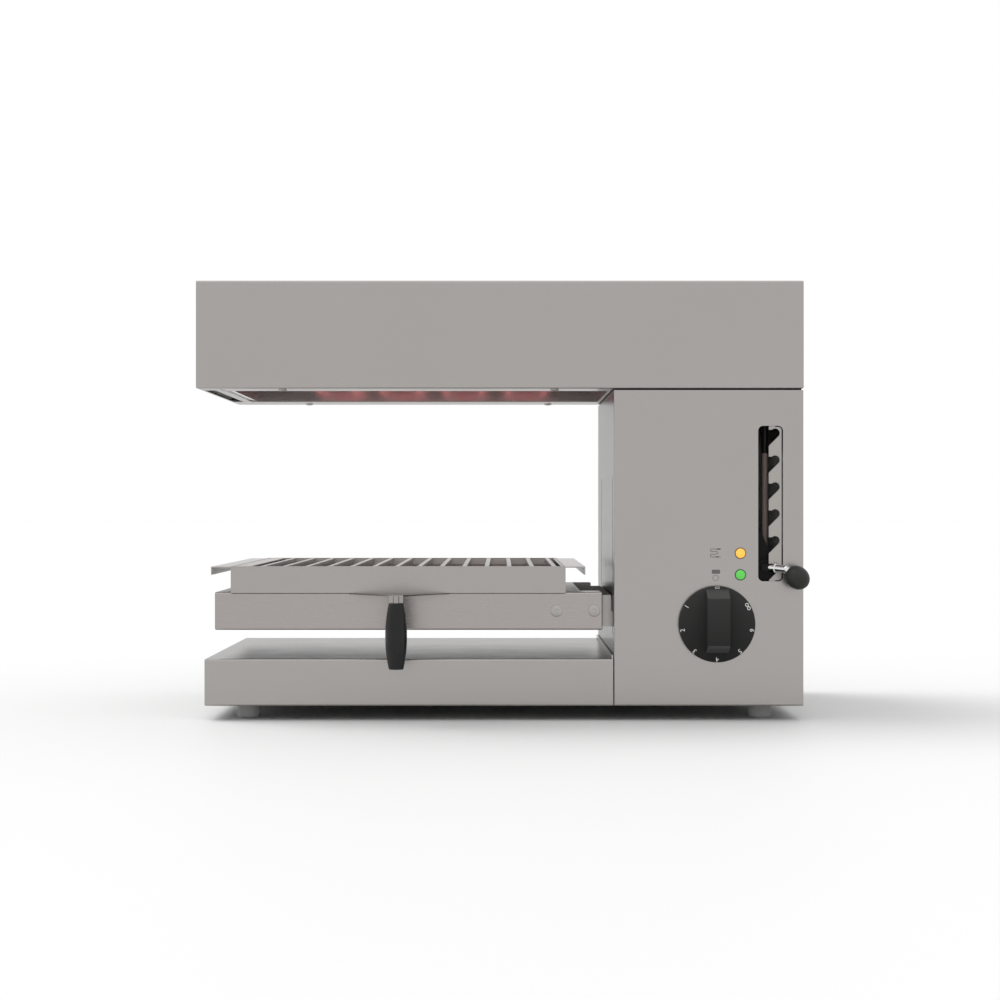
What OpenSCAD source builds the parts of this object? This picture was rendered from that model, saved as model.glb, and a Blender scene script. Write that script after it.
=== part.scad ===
// Cheese melter: a heated hood on a column over a notched lift with a grill pan.
// Millimetres, +Z up, front towards -Y. The origin lies on the floor under the middle.
// Depths are counted back from the plane of the front panels.

/* [Casing] */
// Width of the base and the column together
body_w = 600; // [560:1:700]
// Depth of the base, the column and the hood
body_d = 370; // [350:1:420]
// Height of the base casing
base_h = 47.1; // [42:0.1:60]
// Width of the column
column_w = 190; // [186:1:220]
// Height of the column
column_h = 316.3; // [310:0.1:340]
// Width of the hood
hood_w = 609; // [606:1:640]
// Height of the hood
hood_h = 108; // [100:1:140]
// How far the hood reaches past the column on the right
hood_over_right = 0.4; // [0.2:0.1:4]
// Dark gap between the column and the hood
hood_gap = 1.6; // [1:0.1:3]
// Sheet thickness of the casing
sheet = 1.5; // [1.2:0.1:2]
// Outer radius of the casing's bends
bend_r = 1.8; // [1.6:0.1:2.4]
// Joint between the base casing and the column
base_joint = 0.6; // [0.4:0.1:2]

/* [Feet] */
// Height of a foot
foot_h = 14.8; // [10:0.1:25]
// Diameter of a foot where it meets the floor plate
foot_d = 26; // [20:1:36]
// Distance of a foot's centre from the sides
foot_inset = 40; // [25:1:60]

/* [Hood underside] */
// Width of the front lip
lip_front = 51; // [40:1:60]
// Width of the rear lip
lip_rear = 72; // [60:1:90]
// Width of the left lip
lip_left = 24; // [20:1:30]
// Width of the air slot in the left lip
air_slot_w = 10.8; // [6:0.1:12]
// Height of the reflector tray
reflector_h = 42; // [36:1:50]
// Thickness of the reflector sheet
reflector_sheet = 1; // [0.8:0.1:1.5]
// Number of hairpin elements
element_n = 4; // [2:1:4]
// Distance between two hairpins
element_pitch = 73.2; // [70:0.1:80]
// Distance between the two legs of a hairpin
element_leg = 42; // [30:1:48]
// Diameter of the element tube
element_d = 8; // [6:0.5:9]
// Place across of the row of elements
element_x = -79; // [-84:1:-74]
// Thickness of the insulation
insulation_h = 40; // [25:1:45]

/* [Lift] */
// Number of latch notches
notch_n = 6; // [3:1:6]
// Distance of the highest notch's seat below the column's top
notch_top_gap = 43; // [43:0.1:56]
// Radius of a notch's round seat
notch_r = 4.6; // [4.2:0.1:4.8]
// Height of the lowest notch's seat
notch_low_z = 153.4; // [153:0.1:156]
// Diameter of the two main guide rods
guide_d = 12; // [10:1:14]
// Radial running clearance of bushes and pins
run_gap = 0.05; // [0.03:0.01:0.09]
// Thickness of the arm and carriage plates
arm_sheet = 3; // [2.5:0.5:4]
// Height of an arm's tail where it passes through the column wall
tail_h = 15; // [12:1:16]

/* [Carrier] */
// Width of the carrier
carrier_w = 388.9; // [380:0.1:392]
// Depth of the carrier
carrier_d = 304; // [290:1:320]
// Height of the carrier
carrier_h = 38.1; // [36:0.1:40]
// Height of the carrier's top above the rest surface
carrier_top_z = 128.8; // [128:0.1:131]
// Width of the gap beside the carrier's top plate that shows the arm bracket
carrier_window = 21.3; // [16:0.1:26]

/* [Pan and grid] */
// Width of the pan between its walls' outer faces
pan_w = 335.4; // [325:0.1:345]
// Depth of the pan
pan_d = 376; // [360:1:380]
// Height of the pan above its floor's underside
pan_h = 25.6; // [22:0.1:32]
// How far the pan's front wall reaches below its floor
pan_skirt = 1.2; // [0.6:0.1:3]
// Sheet thickness of the pan
pan_sheet = 1.2; // [1:0.1:1.5]
// Width of the pan's side flanges
flange_w = 19.8; // [12:0.1:24]
// Height of the turned-down lips
flange_lip_h = 8.2; // [5:0.1:12]
// Number of grid bars
bar_n = 14; // [8:1:14]
// Distance between two grid bars
bar_pitch = 22.65; // [20:0.05:22.7]
// Width of a grid bar
bar_w = 4.6; // [3:0.1:6]
// Height of a grid bar
bar_h = 7; // [5:0.5:8]

/* [Handle] */
// Width of the handle plate under the pan
handle_root_w = 101; // [80:1:120]
// How far the handle reaches in front of the pan
handle_reach = 65.5; // [50:0.5:80]
// Width of the handle's tang
tang_w = 13.6; // [10:0.1:18]
// Length of the grip
grip_l = 64.5; // [50:0.5:80]
// Diameter of the grip at its ends
grip_end_d = 14.2; // [12:0.1:18]
// Diameter of the grip at its middle
grip_mid_d = 21.4; // [18:0.1:26]

/* [Controls] */
// Width of the lever slot in the front panel
slot_w = 24.8; // [24:0.1:30]
// Distance of the lever slot's upper end below the column's top
slot_top_gap = 35.8; // [34:0.1:36.5]
// Corner radius of the lever slot
slot_r = 5; // [3:0.5:6]
// Diameter of the dial knob
dial_d = 76.2; // [60:0.1:80]
// Height of the dial's grip bar above the panel
dial_grip_out = 27; // [20:1:32]
// Width of the dial's grip bar
dial_grip_w = 22.6; // [16:0.1:28]
// Diameter of a lamp lens
lens_d = 9.6; // [8:0.1:12]
// Diameter of the ball knob
ball_d = 22.6; // [20:0.1:28]
// Length of the ball knob
ball_l = 27; // [24:0.5:34]
// Diameter of the lever rod
lever_rod_d = 8; // [6:0.5:9]

/* [Hidden] */
$fn = 48;
// Overrun of every cut
over = 1;
// Gap that keeps two neighbours of one assembly apart
fit = 0.2;
// Gap between pieces that move past each other
slip = 0.3;

// Upstand of the base casing along the column
upstand_h = 4;

// Places of the casing
hood_x0 = -hood_w / 2;
hood_x1 = hood_w / 2;
col_x1 = hood_x1 - hood_over_right;
col_x0 = col_x1 - column_w;
base_x0 = col_x1 - body_w;
base_x1 = col_x0 - base_joint;
base_top_z = foot_h + base_h;
col_top_z = foot_h + column_h;
hood_z = col_top_z + hood_gap;
hood_top_z = hood_z + hood_h;

// The grip reaches furthest forward, the gland furthest back
gland_out = 18;
gland_hex = 24;
gland_bore = 10;
gland_nut_t = 5;
gland_thread_d = 20;
front_reach = handle_reach + grip_mid_d / 2;
rear_reach = body_d + gland_out;
front_y = front_reach - (front_reach + rear_reach) / 2;

// Floor plate
floor_recess = 0.5;
floor_z0 = foot_h + floor_recess;
floor_z1 = floor_z0 + sheet;
floor_rim_h = 12;
vent_n = 7;
vent_w = 4;
vent_l = 90;
vent_pitch = 12;
foot_taper = 3;
foot_screw_d = 5;
foot_screw_head_d = 9.5;
foot_screw_head_h = 3;
foot_bore_slack = 0.4;
foot_nut_d = 9.2;
foot_nut_h = 4;
foot_xs = [base_x0 + foot_inset, col_x1 - foot_inset];
foot_ds = [foot_inset, body_d - foot_inset];

// Column
wall_flange = 15;
arm_slack_low = 8.2;
arm_slack_high = 2;
arm_slot_slack = 1.5;
top_rim_h = 15;
wire_hole_d = 16;
wire_shift = 8.4;
wire_in = 35;
wire_x = (col_x0 + col_x1) / 2 + wire_shift;
wire_d = body_d - wire_in;
cover_screw_d = 4;
cover_head_d = 8;
cover_head_h = 1.6;
cover_edge = 9;
louvre_n = 8;
louvre_w = 90;
louvre_h = 5;
louvre_pitch = 14;
louvre_rise = 161.1;
louvre_low_z = col_top_z - louvre_rise;
hood_bolt_d = 6;
hood_bolt_head_d = 10;
hood_bolt_head_h = 4;
hood_bolt_in = 24;
hood_bolt_front = 44;
hood_bolt_rear = 26;
hood_bolt_ds = [hood_bolt_front, body_d - hood_bolt_rear];

// Hood underside
mouth_x0 = hood_x0 + lip_left;
mouth_gap = 3.9;
mouth_x1 = col_x0 - mouth_gap;
mouth_d0 = lip_front;
mouth_d1 = body_d - lip_rear;
air_slot_in = 4;
air_slot_x0 = hood_x0 + air_slot_in;
air_slot_d0 = 41;
frame_z1 = hood_z + sheet;
rim_w = 12;
rim_step = 4;
tray_x0 = mouth_x0 + rim_step;
tray_z1 = frame_z1 + reflector_h;
element_rise = 16;
element_z = frame_z1 + element_rise;
element_front = 14;
element_back = 12;
element_hole_slack = 0.6;
fitting_d = 14;
fitting_t = 5;
ceramic_d = 9.6;
ceramic_l = 10;
pin_d = 4;
pin_l = 9;
hanger_w = 12;
hanger_t = 1.5;
lip_screw_d = 5;
lip_head_d = 9;
lip_head_h = 1.8;
lip_slit_w = 1;
lip_slit_d0 = 12;
lip_nut_d = 8;
lip_nut_h = 4;
lip_screw_left = 140.5;
lip_screw_right = 134;
lip_screw_front = 20;
lip_screw_rear = 24;
lip_screw_xs = [element_x - lip_screw_left, element_x + lip_screw_right];
lip_screw_ds = [lip_screw_front, body_d - lip_screw_rear];

// Lever slot and notch plate
slot_inset = 45.4;
slot_below = 13.8;
slot_x0 = col_x1 - slot_inset;
slot_x1 = slot_x0 + slot_w;
slot_z0 = notch_low_z - slot_below;
slot_z1 = col_top_z - slot_top_gap;
slot_h = slot_z1 - slot_z0;
notch_gap = 1;
notch_t = 3;
notch_d0 = sheet + notch_gap;
notch_d1 = notch_d0 + notch_t;
teeth_in = 13.9;
notch_in = 7.5;
notch_edge = 1.1;
teeth_x = slot_x1 - teeth_in;
notch_x = slot_x1 - notch_in;
notch_x1 = slot_x1 - notch_edge;
notch_entry = 3.3;
notch_end = 1;
notch_neck_w = 6;
notch_tab_w = 24;
notch_tab_h = 13;
notch_neck_l = 6;
notch_corner_r = 3.5;
notch_screw_d = 4;
notch_pitch = (col_top_z - notch_top_gap - notch_low_z) / (notch_n - 1);
lift = (notch_n - 1) * notch_pitch;

// Carrier and arms
carrier_front = 3;
carrier_gap = 11.1;
carrier_x1 = col_x0 - carrier_gap;
carrier_x0 = carrier_x1 - carrier_w;
carrier_z0 = carrier_top_z - carrier_h;
carrier_bend = 2;
carrier_lip = 6;
carrier_strip = 38;
arm_front = 25.5;
arm_gap = 1.9;
arm_z1 = carrier_top_z - sheet - arm_gap;
arm_rise = 2.4;
arm_wall_gap = 1.6;
arm_reach = 63;
arm_z0 = carrier_z0 + arm_rise;
arm_x0 = carrier_x1 - arm_reach;
arm_x1 = col_x0 - arm_wall_gap;
arm_d0 = arm_front;
arm_d1 = 2 * carrier_front + carrier_d - arm_front;
tail_z1 = arm_z0 + tail_h;
arm_slot_w = arm_sheet + 2 * arm_slot_slack;
arm_slot_z0 = arm_z0 - arm_slack_low;
arm_slot_z1 = tail_z1 + lift + arm_slack_high;
carrier_screw_in = 8.4;
carrier_screw_span = 37.8;
carrier_screw_xs = [carrier_x1 - carrier_screw_in - carrier_screw_span, carrier_x1 - carrier_screw_in];
carrier_screw_z = carrier_z0 + carrier_h / 2;
carrier_screw_d = 6;
carrier_head_d = 11.5;
carrier_head_h = 1.6;
spacer_d = 12;
spacer_slack = 0.3;

// Carriage in the column
carriage_gap = 2.4;
carriage_x0 = col_x0 + sheet + carriage_gap;
carriage_x1 = carriage_x0 + arm_sheet;
carriage_z0 = 42;
carriage_z1 = 172;
carriage_d0 = arm_d0 + arm_sheet;
carriage_d1 = arm_d1 - arm_sheet;
carriage_flange_l = 36;
tail_x1 = carriage_x1 + carriage_flange_l;
carriage_bolt_d = 6;
carriage_bolt_head_d = 10;
carriage_bolt_head_h = 3;
carriage_bolt_in = [12, 28];
guide_out = 18;
guide_in = 54.5;
guide_x = carriage_x1 + guide_out;
guide_ds = [arm_d0 + guide_in, arm_d1 - guide_in];
housing_w = 26;
housing_h = 22;
bush_wall = 2;
bush_rim_t = 2;
bush_rim_d = 20;
collar_d = 26;
collar_h = 12;
buffer_d = 24;
buffer_slack = 0.2;
spring_d = 16;
spring_wall = 2;
spring_place = 0.3;
spring_out = 2;
spring_ds = [for (t = [spring_place, 1 - spring_place]) guide_ds[0] + t * (guide_ds[1] - guide_ds[0])];
spring_x = guide_x + spring_out;
spring_lug_t = 4;
spring_lug_z = 50;
spring_bar_drop = 8;
spring_bar_z = col_top_z - top_rim_h - spring_bar_drop;
spring_bar_h = 5;
spring_bar_w = 24;
spring_bar_leg_t = 3;

// Latch bracket and lever
bracket_d1 = 43;
bracket_d0 = bracket_d1 - arm_sheet;
bracket_past = 3.5;
bracket_x1 = slot_x1 + bracket_past;
bracket_low = 102;
bracket_beam_h = 28;
bracket_gusset_top = 193;
bracket_slope_top = 196.7;
bracket_face_in = 6;
bracket_face_x0 = slot_x0 - bracket_face_in;
bracket_face_z0 = 100;
lever_t = 3;
lever_gap = 0.5;
lever_d0 = notch_d1 + lever_gap;
lever_d1 = lever_d0 + lever_t;
bracket_face_d0 = lever_d1 + lever_gap;
bracket_face_d1 = bracket_face_d0 + arm_sheet;
nose_d = 6;
nose_gap = 0.6;
nose_x = teeth_x - nose_gap - nose_d / 2;
nose_play = 0.2;
lever_l = 40;
nose_z = notch_low_z - nose_play;
pivot_x = nose_x;
pivot_z = nose_z - lever_l;
pivot_d = 8;
pivot_l = 11;
lever_boss_r = 9;
lever_head_r = 8;
tab_left = 3.4;
tab_right = 12;
tab_h = 6.8;
tab_x0 = nose_x - tab_left;
tab_x1 = nose_x + tab_right;
tab_z0 = nose_z - nose_d / 2;
tab_z1 = tab_z0 + tab_h;
tab_out = 1;
tab_d1 = notch_d0 - slip;
strut_d = 6;
strut_in = 9.5;
strut_x = slot_x0 + strut_in;
strut_depth = 26;
eye_w = 14;
eye_h = 8;
eye_front = 8;

// Lever rod: it leaves the tab to the front and right, then bends down into the ball
rod_root_in = 3;
rod_root_rise = 2.8;
rod_root_x = tab_x1 - rod_root_in;
rod_root_z = tab_z0 + rod_root_rise;
rod_yaw = 42.5;
rod_pitch = 3.5;
rod_l = 15.7;
rod_bend_swell = 0.4;
rod_collar_d = 9.6;
rod_collar_l = 3;
ball_pitch = 30;
ball_start = 7;
ball_flat = 4.5;
ball_grip = 14;
ball_bore_slack = 0.1;

// Dial, regulator and lamps
dial_inset = 87.1;
dial_x = col_x1 - dial_inset;
dial_z = 97;
dial_gap = 1.8;
dial_skirt_t = 6;
dial_bevel = 1.6;
dial_grip_up = 27.6;
dial_grip_down = 22;
dial_slope_up = 11;
dial_slope_down = 6.8;
shaft_d = 6;
regulator_w = 46;
regulator_d = 34;
regulator_neck_d = 9.6;
regulator_screw_d = 4;
regulator_screw_head_d = 6.5;
regulator_screw_head_h = 1;
regulator_screw_span = 28;
shaft_in = 16;
shaft_out = 16;
lamp_inset = 63.2;
lamp_x = col_x1 - lamp_inset;
lamp_zs = [167.7, 146.1];
lamp_ring_w = 0.9;
lamp_ring_t = 0.8;
lens_out = 2.4;
lamp_body_d = 10;
lamp_body_l = 26;
lamp_hole_slack = 0.3;

// Pan, grid and handle
pan_front = 0.5;
pan_inset = 16.4;
pan_x0 = carrier_x0 + pan_inset;
pan_x1 = pan_x0 + pan_w;
handle_sheet = 1.2;
pan_z0 = carrier_top_z + slip;
skirt_z0 = pan_z0 - pan_skirt;
pan_z1 = pan_z0 + pan_h;
flange_drop = 0.4;
grid_gap = 0.5;
grid_strip_w = 16.5;
grid_strip_gap = 9.4;
grid_side_w = 2.5;
grid_end_w = 3;
grid_lug_w = 10;
grid_lug_l = 12;
grid_lug_t = 2;
grid_lug_inset = 50;
handle_shift = 1;
handle_x = (pan_x0 + pan_x1) / 2 + handle_shift;
handle_neck = 8;
tang_drop = 6.2;
tang_rod_d = 6;
grip_slack = 0.2;
grip_z1 = skirt_z0 - handle_sheet - tang_drop;
grip_z0 = grip_z1 - grip_l;
grip_nut_d = 11.5;
grip_nut_h = 5;
grip_pocket = 1;

// Rear connections and wiring
gland_x = wire_x;
gland_z = 52;
stud_inset = 30;
stud_x = col_x1 - stud_inset;
stud_z = 46;
stud_d = 6;
stud_l = 14;
stud_head_d = 12;
stud_head_t = 3;
terminal_w = 60;
terminal_d = 26;
terminal_h = 24;
loom_d = 8;
loom_floor_z = 26;
loom_gap = 16;
loom_hood_depth = body_d - loom_gap;

// Box between two places across, two depths behind the front and two heights
module slab(x0, x1, d0, d1, z0, z1)
    translate([x0, front_y + d0, z0])
        cube([x1 - x0, d1 - d0, z1 - z0]);

// Upright cylinder at a place across and a depth
module post(x, d, z0, z1, dia)
    translate([x, front_y + d, z0])
        cylinder(d = dia, h = z1 - z0);

// Cylinder that runs from front to back
module bar_y(x, z, d0, d1, dia)
    translate([x, front_y + d0, z])
        rotate([-90, 0, 0])
            cylinder(d = dia, h = d1 - d0);

// Cylinder that runs from left to right
module bar_x(d, z, x0, x1, dia)
    translate([x0, front_y + d, z])
        rotate([0, 90, 0])
            cylinder(d = dia, h = x1 - x0);

// Hexagonal bar from front to back, measured across its corners
module hex_y(x, z, d0, d1, dia)
    translate([x, front_y + d0, z])
        rotate([-90, 0, 0])
            cylinder(d = dia, h = d1 - d0, $fn = 6);

// Outline in the plane of the front panel, given a thickness from one depth to another
module front_plate(d0, d1)
    translate([0, front_y + d1, 0])
        rotate([90, 0, 0])
            linear_extrude(d1 - d0)
                children();

// Rectangle with true arcs at its corners
module round_rect(w, h, r) {
    translate([r, 0]) square([w - 2 * r, h]);
    translate([0, r]) square([w, h - 2 * r]);
    for (x = [r, w - r], y = [r, h - r])
        translate([x, y]) circle(r = r);
}

// Box folded from sheet: its upright and top edges are bends, and its bottom edges if asked
module folded_box(x0, x1, d0, d1, z0, z1, r, bottom = false) {
    below = bottom ? 0 : r;
    intersection() {
        translate([x0, front_y + d0, z0])
            linear_extrude(z1 - z0)
                round_rect(x1 - x0, d1 - d0, r);
        translate([x0, front_y + d0, z0 - below])
            rotate([90, 0, 90])
                linear_extrude(x1 - x0)
                    round_rect(d1 - d0, z1 - z0 + below, r);
        translate([x0, front_y + d1, z0 - below])
            rotate([90, 0, 0])
                linear_extrude(d1 - d0)
                    round_rect(x1 - x0, z1 - z0 + below, r);
    }
}

// Base casing: top, front, left and rear walls, and an upstand along the column
module base_shell()
    color("silver") {
        slab(base_x1 - sheet, base_x1, bend_r, body_d - bend_r, base_top_z - sheet / 2,
             base_top_z + upstand_h);
        difference() {
            folded_box(base_x0, base_x1 + bend_r, 0, body_d, foot_h, base_top_z, bend_r, true);
            slab(base_x0 + sheet, base_x1 + bend_r + over, sheet, body_d - sheet,
                 foot_h - over, base_top_z - sheet);
            slab(base_x1, base_x1 + bend_r + over, -over, body_d + over,
                 foot_h - over, base_top_z + over);
        }
    }

// Floor plate under the base and the column, with an upturned rim
module chassis_floor()
    color("lightgray")
        difference() {
            slab(base_x0 + sheet + fit, col_x1 - sheet - fit, 2 * sheet + fit,
                 body_d - 2 * sheet - fit, floor_z0, floor_z1 + floor_rim_h);
            slab(base_x0 + 2 * sheet + fit, col_x1 - 2 * sheet - fit, 3 * sheet + fit,
                 body_d - 3 * sheet - fit, floor_z1, floor_z1 + floor_rim_h + over);
            slab(col_x0 - fit, col_x0 + sheet + wall_flange + fit, over, body_d - over,
                 floor_z1, floor_z1 + floor_rim_h + over);
            slab(col_x1 - sheet - wall_flange - fit, col_x1, 2 * sheet, body_d - 2 * sheet - sheet / 2,
                 floor_z1 + floor_rim_h / 2, floor_z1 + floor_rim_h + over);
            for (x = foot_xs, d = foot_ds)
                post(x, d, floor_z0 - over, floor_z1 + over, foot_screw_d + foot_bore_slack);
            for (i = [0 : vent_n - 1])
                slab(wire_x + (i - (vent_n - 1) / 2) * vent_pitch - vent_w / 2,
                     wire_x + (i - (vent_n - 1) / 2) * vent_pitch + vent_w / 2,
                     body_d / 2 - vent_l / 2, body_d / 2 + vent_l / 2,
                     floor_z0 - over, floor_z1 + over);
        }

// Four tapered plastic feet
module feet()
    color("whitesmoke")
        for (x = foot_xs, d = foot_ds)
            translate([x, front_y + d, 0])
                difference() {
                    cylinder(d1 = foot_d - foot_taper, d2 = foot_d, h = floor_z0);
                    translate([0, 0, -over])
                        cylinder(d = foot_screw_head_d + foot_bore_slack,
                                 h = foot_screw_head_h + foot_h / 3 + over);
                    cylinder(d = foot_screw_d + foot_bore_slack, h = floor_z0 + over);
                }

// Screws that hold the feet to the floor plate, with their nuts
module foot_screws()
    color("gray")
        for (x = foot_xs, d = foot_ds) {
            post(x, d, foot_h / 3, foot_h / 3 + foot_screw_head_h, foot_screw_head_d);
            post(x, d, foot_h / 3, floor_z1 + foot_nut_h, foot_screw_d);
            translate([x, front_y + d, floor_z1])
                cylinder(d = foot_nut_d, h = foot_nut_h, $fn = 6);
        }

// Front panel of the column with the lever slot, the dial hole and the lamp holes
module column_front_panel()
    color("silver")
        difference() {
            intersection() {
                slab(col_x0, col_x1, 0, sheet, foot_h, col_top_z);
                translate([col_x0, front_y, foot_h])
                    linear_extrude(column_h)
                        round_rect(column_w, 2 * bend_r + sheet, bend_r);
                translate([col_x0, front_y, foot_h])
                    rotate([90, 0, 90])
                        linear_extrude(column_w)
                            round_rect(2 * bend_r + sheet, column_h + bend_r, bend_r);
            }
            front_plate(-over, sheet + over)
                translate([slot_x0, slot_z0])
                    round_rect(slot_w, slot_h, slot_r);
            bar_y(dial_x, dial_z, -over, sheet + over, regulator_neck_d + 2 * fit);
            for (z = lamp_zs)
                bar_y(lamp_x, z, -over, sheet + over, lamp_body_d + 2 * lamp_hole_slack);
            for (s = [-1, 1])
                bar_y(dial_x + s * regulator_screw_span / 2, dial_z, -over, sheet + over,
                      regulator_screw_d + 2 * fit);
        }

// Left wall of the column, with a slot for each arm and a flange at each end
module column_left_wall()
    color("silver")
        difference() {
            union() {
                slab(col_x0, col_x0 + sheet, sheet, body_d - sheet, floor_z1, col_top_z);
                slab(col_x0, col_x0 + wall_flange, sheet, 2 * sheet, floor_z1, col_top_z);
                slab(col_x0, col_x0 + wall_flange, body_d - 2 * sheet, body_d - sheet,
                     floor_z1, col_top_z);
            }
            for (d = [arm_d0, arm_d1 - arm_sheet])
                slab(col_x0 - over, col_x0 + sheet + over, d - arm_slot_slack,
                     d - arm_slot_slack + arm_slot_w, arm_slot_z0, arm_slot_z1);
        }

// Right wall of the column, with a flange at each end
module column_right_wall()
    color("silver")
        union() {
            slab(col_x1 - sheet, col_x1, sheet, body_d - sheet, foot_h, col_top_z);
            slab(col_x1 - wall_flange, col_x1, sheet, 2 * sheet, floor_z1 + floor_rim_h, col_top_z);
            slab(col_x1 - wall_flange, col_x1, body_d - 2 * sheet, body_d - sheet,
                 floor_z1 + floor_rim_h, col_top_z);
        }

// Places of the screws along the rear cover's two edges
cover_screw_xs = [col_x0 + cover_edge, col_x1 - cover_edge];
cover_screw_zs = [for (s = [0.15, 0.5, 0.85]) foot_h + s * column_h];

// Rear cover with louvre slots, the gland hole and the stud hole
module column_rear_cover()
    color("silver")
        difference() {
            slab(col_x0, col_x1, body_d - sheet, body_d, foot_h, col_top_z);
            for (i = [0 : louvre_n - 1])
                front_plate(body_d - sheet - over, body_d + over)
                    translate([wire_x - louvre_w / 2, louvre_low_z + i * louvre_pitch])
                        round_rect(louvre_w, louvre_h, louvre_h / 2 - fit);
            bar_y(gland_x, gland_z, body_d - sheet - over, body_d + over, gland_thread_d + 2 * fit);
            bar_y(stud_x, stud_z, body_d - sheet - over, body_d + over, stud_d + 2 * fit);
            for (x = cover_screw_xs, z = cover_screw_zs)
                bar_y(x, z, body_d - sheet - over, body_d + over, cover_screw_d + 2 * fit);
        }

// Screws of the rear cover: heads outside, threads in the walls' rear flanges
module rear_cover_screws()
    color("lightgray")
        for (x = cover_screw_xs, z = cover_screw_zs) {
            bar_y(x, z, body_d, body_d + cover_head_h, cover_head_d);
            bar_y(x, z, body_d - sheet, body_d, cover_screw_d);
        }

// Places of the bolts between the hood and the column
hood_bolt_xs = [col_x0 + hood_bolt_in, col_x1 - hood_bolt_in];

// Top plate of the column: it carries the hood and shows as the dark gap under it
module column_top_plate()
    color("dimgray")
        difference() {
            slab(col_x0 + sheet + fit, col_x1 - sheet - fit, 2 * sheet + fit,
                 body_d - 2 * sheet - fit, hood_z - top_rim_h, hood_z);
            slab(col_x0 + 2 * sheet + fit, col_x1 - 2 * sheet - fit, 3 * sheet + fit,
                 body_d - 3 * sheet - fit, hood_z - top_rim_h - over, hood_z - sheet);
            for (x = hood_bolt_xs, d = hood_bolt_ds)
                post(x, d, hood_z - top_rim_h, hood_z + over, hood_bolt_d + 2 * fit);
            post(wire_x, wire_d, hood_z - top_rim_h, hood_z + over, wire_hole_d);
        }

// Bolts that join the hood to the column, with their nuts
module hood_bolts()
    color("gray")
        for (x = hood_bolt_xs, d = hood_bolt_ds) {
            post(x, d, frame_z1, frame_z1 + hood_bolt_head_h, hood_bolt_head_d);
            post(x, d, hood_z - sheet - hood_bolt_head_h, frame_z1 + hood_bolt_head_h, hood_bolt_d);
            translate([x, front_y + d, hood_z - sheet - hood_bolt_head_h])
                cylinder(d = hood_bolt_head_d, h = hood_bolt_head_h, $fn = 6);
        }

// Hood casing, open below
module hood_shell()
    color("silver")
        difference() {
            folded_box(hood_x0, hood_x1, 0, body_d, hood_z, hood_top_z, bend_r, true);
            slab(hood_x0 + sheet, hood_x1 - sheet, sheet, body_d - sheet,
                 hood_z - over, hood_top_z - sheet);
        }

// Bottom frame of the hood: lips round the mouth, with an air slot on the left
module hood_bottom_frame()
    color("lightgray")
        difference() {
            slab(hood_x0 + sheet, hood_x1 - sheet, sheet, body_d - sheet, hood_z, frame_z1);
            slab(mouth_x0, mouth_x1, mouth_d0, mouth_d1, hood_z - over, frame_z1 + over);
            slab(mouth_x0 - lip_slit_w, mouth_x0, lip_slit_d0, mouth_d0 + over,
                 hood_z - over, frame_z1 + over);
            slab(air_slot_x0, air_slot_x0 + air_slot_w, air_slot_d0, mouth_d1,
                 hood_z - over, frame_z1 + over);
            for (x = lip_screw_xs, d = lip_screw_ds)
                post(x, d, hood_z - over, frame_z1 + over, lip_screw_d + 2 * fit);
            for (x = hood_bolt_xs, d = hood_bolt_ds)
                post(x, d, hood_z - over, frame_z1 + over, hood_bolt_d + 2 * fit);
            post(wire_x, wire_d, hood_z - over, frame_z1 + over, wire_hole_d);
        }

// Screws under the lips, with their nuts on the frame
module hood_frame_screws()
    color("lightgray")
        for (x = lip_screw_xs, d = lip_screw_ds) {
            post(x, d, hood_z - lip_head_h, hood_z, lip_head_d);
            post(x, d, hood_z - lip_head_h, frame_z1 + lip_nut_h, lip_screw_d);
            translate([x, front_y + d, frame_z1])
                cylinder(d = lip_nut_d, h = lip_nut_h, $fn = 6);
        }

// Places across of all element legs
leg_xs = [for (i = [0 : element_n - 1], s = [-1, 1])
    element_x + (i - (element_n - 1) / 2) * element_pitch + s * element_leg / 2];
// Places across of the hairpins' middles
hairpin_xs = [for (i = [0 : element_n - 1]) element_x + (i - (element_n - 1) / 2) * element_pitch];
tray_d0 = mouth_d0 - fit;
tray_d1 = mouth_d1 + fit;
element_bend_d = tray_d0 + element_front + element_leg / 2;
element_end_d = tray_d1 + reflector_sheet + element_back;

// Reflector tray over the mouth, with a rim on the bottom frame
module hood_reflector()
    color("dimgray")
        difference() {
            union() {
                slab(tray_x0 - rim_w, mouth_x1 + fit + reflector_sheet, tray_d0 - rim_w,
                     tray_d1 + rim_w, frame_z1, frame_z1 + reflector_sheet);
                slab(tray_x0, mouth_x1 + fit + reflector_sheet, tray_d0 - reflector_sheet,
                     tray_d1 + reflector_sheet, frame_z1, tray_z1);
            }
            slab(tray_x0 + reflector_sheet, mouth_x1 + fit, tray_d0, tray_d1,
                 frame_z1 - over, tray_z1 - reflector_sheet);
            for (x = leg_xs)
                bar_y(x, element_z, tray_d1 - over, tray_d1 + reflector_sheet + over,
                      element_d + element_hole_slack);
        }

// Hairpin elements: two legs that run back and a half turn at the front
module heating_elements()
    color("orangered")
        for (x = hairpin_xs) {
            for (s = [-1, 1])
                bar_y(x + s * element_leg / 2, element_z, element_bend_d, element_end_d, element_d);
            translate([x, front_y + element_bend_d, element_z])
                rotate([0, 0, 180])
                    rotate_extrude(angle = 180)
                        translate([element_leg / 2, 0])
                            circle(d = element_d);
        }

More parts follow.
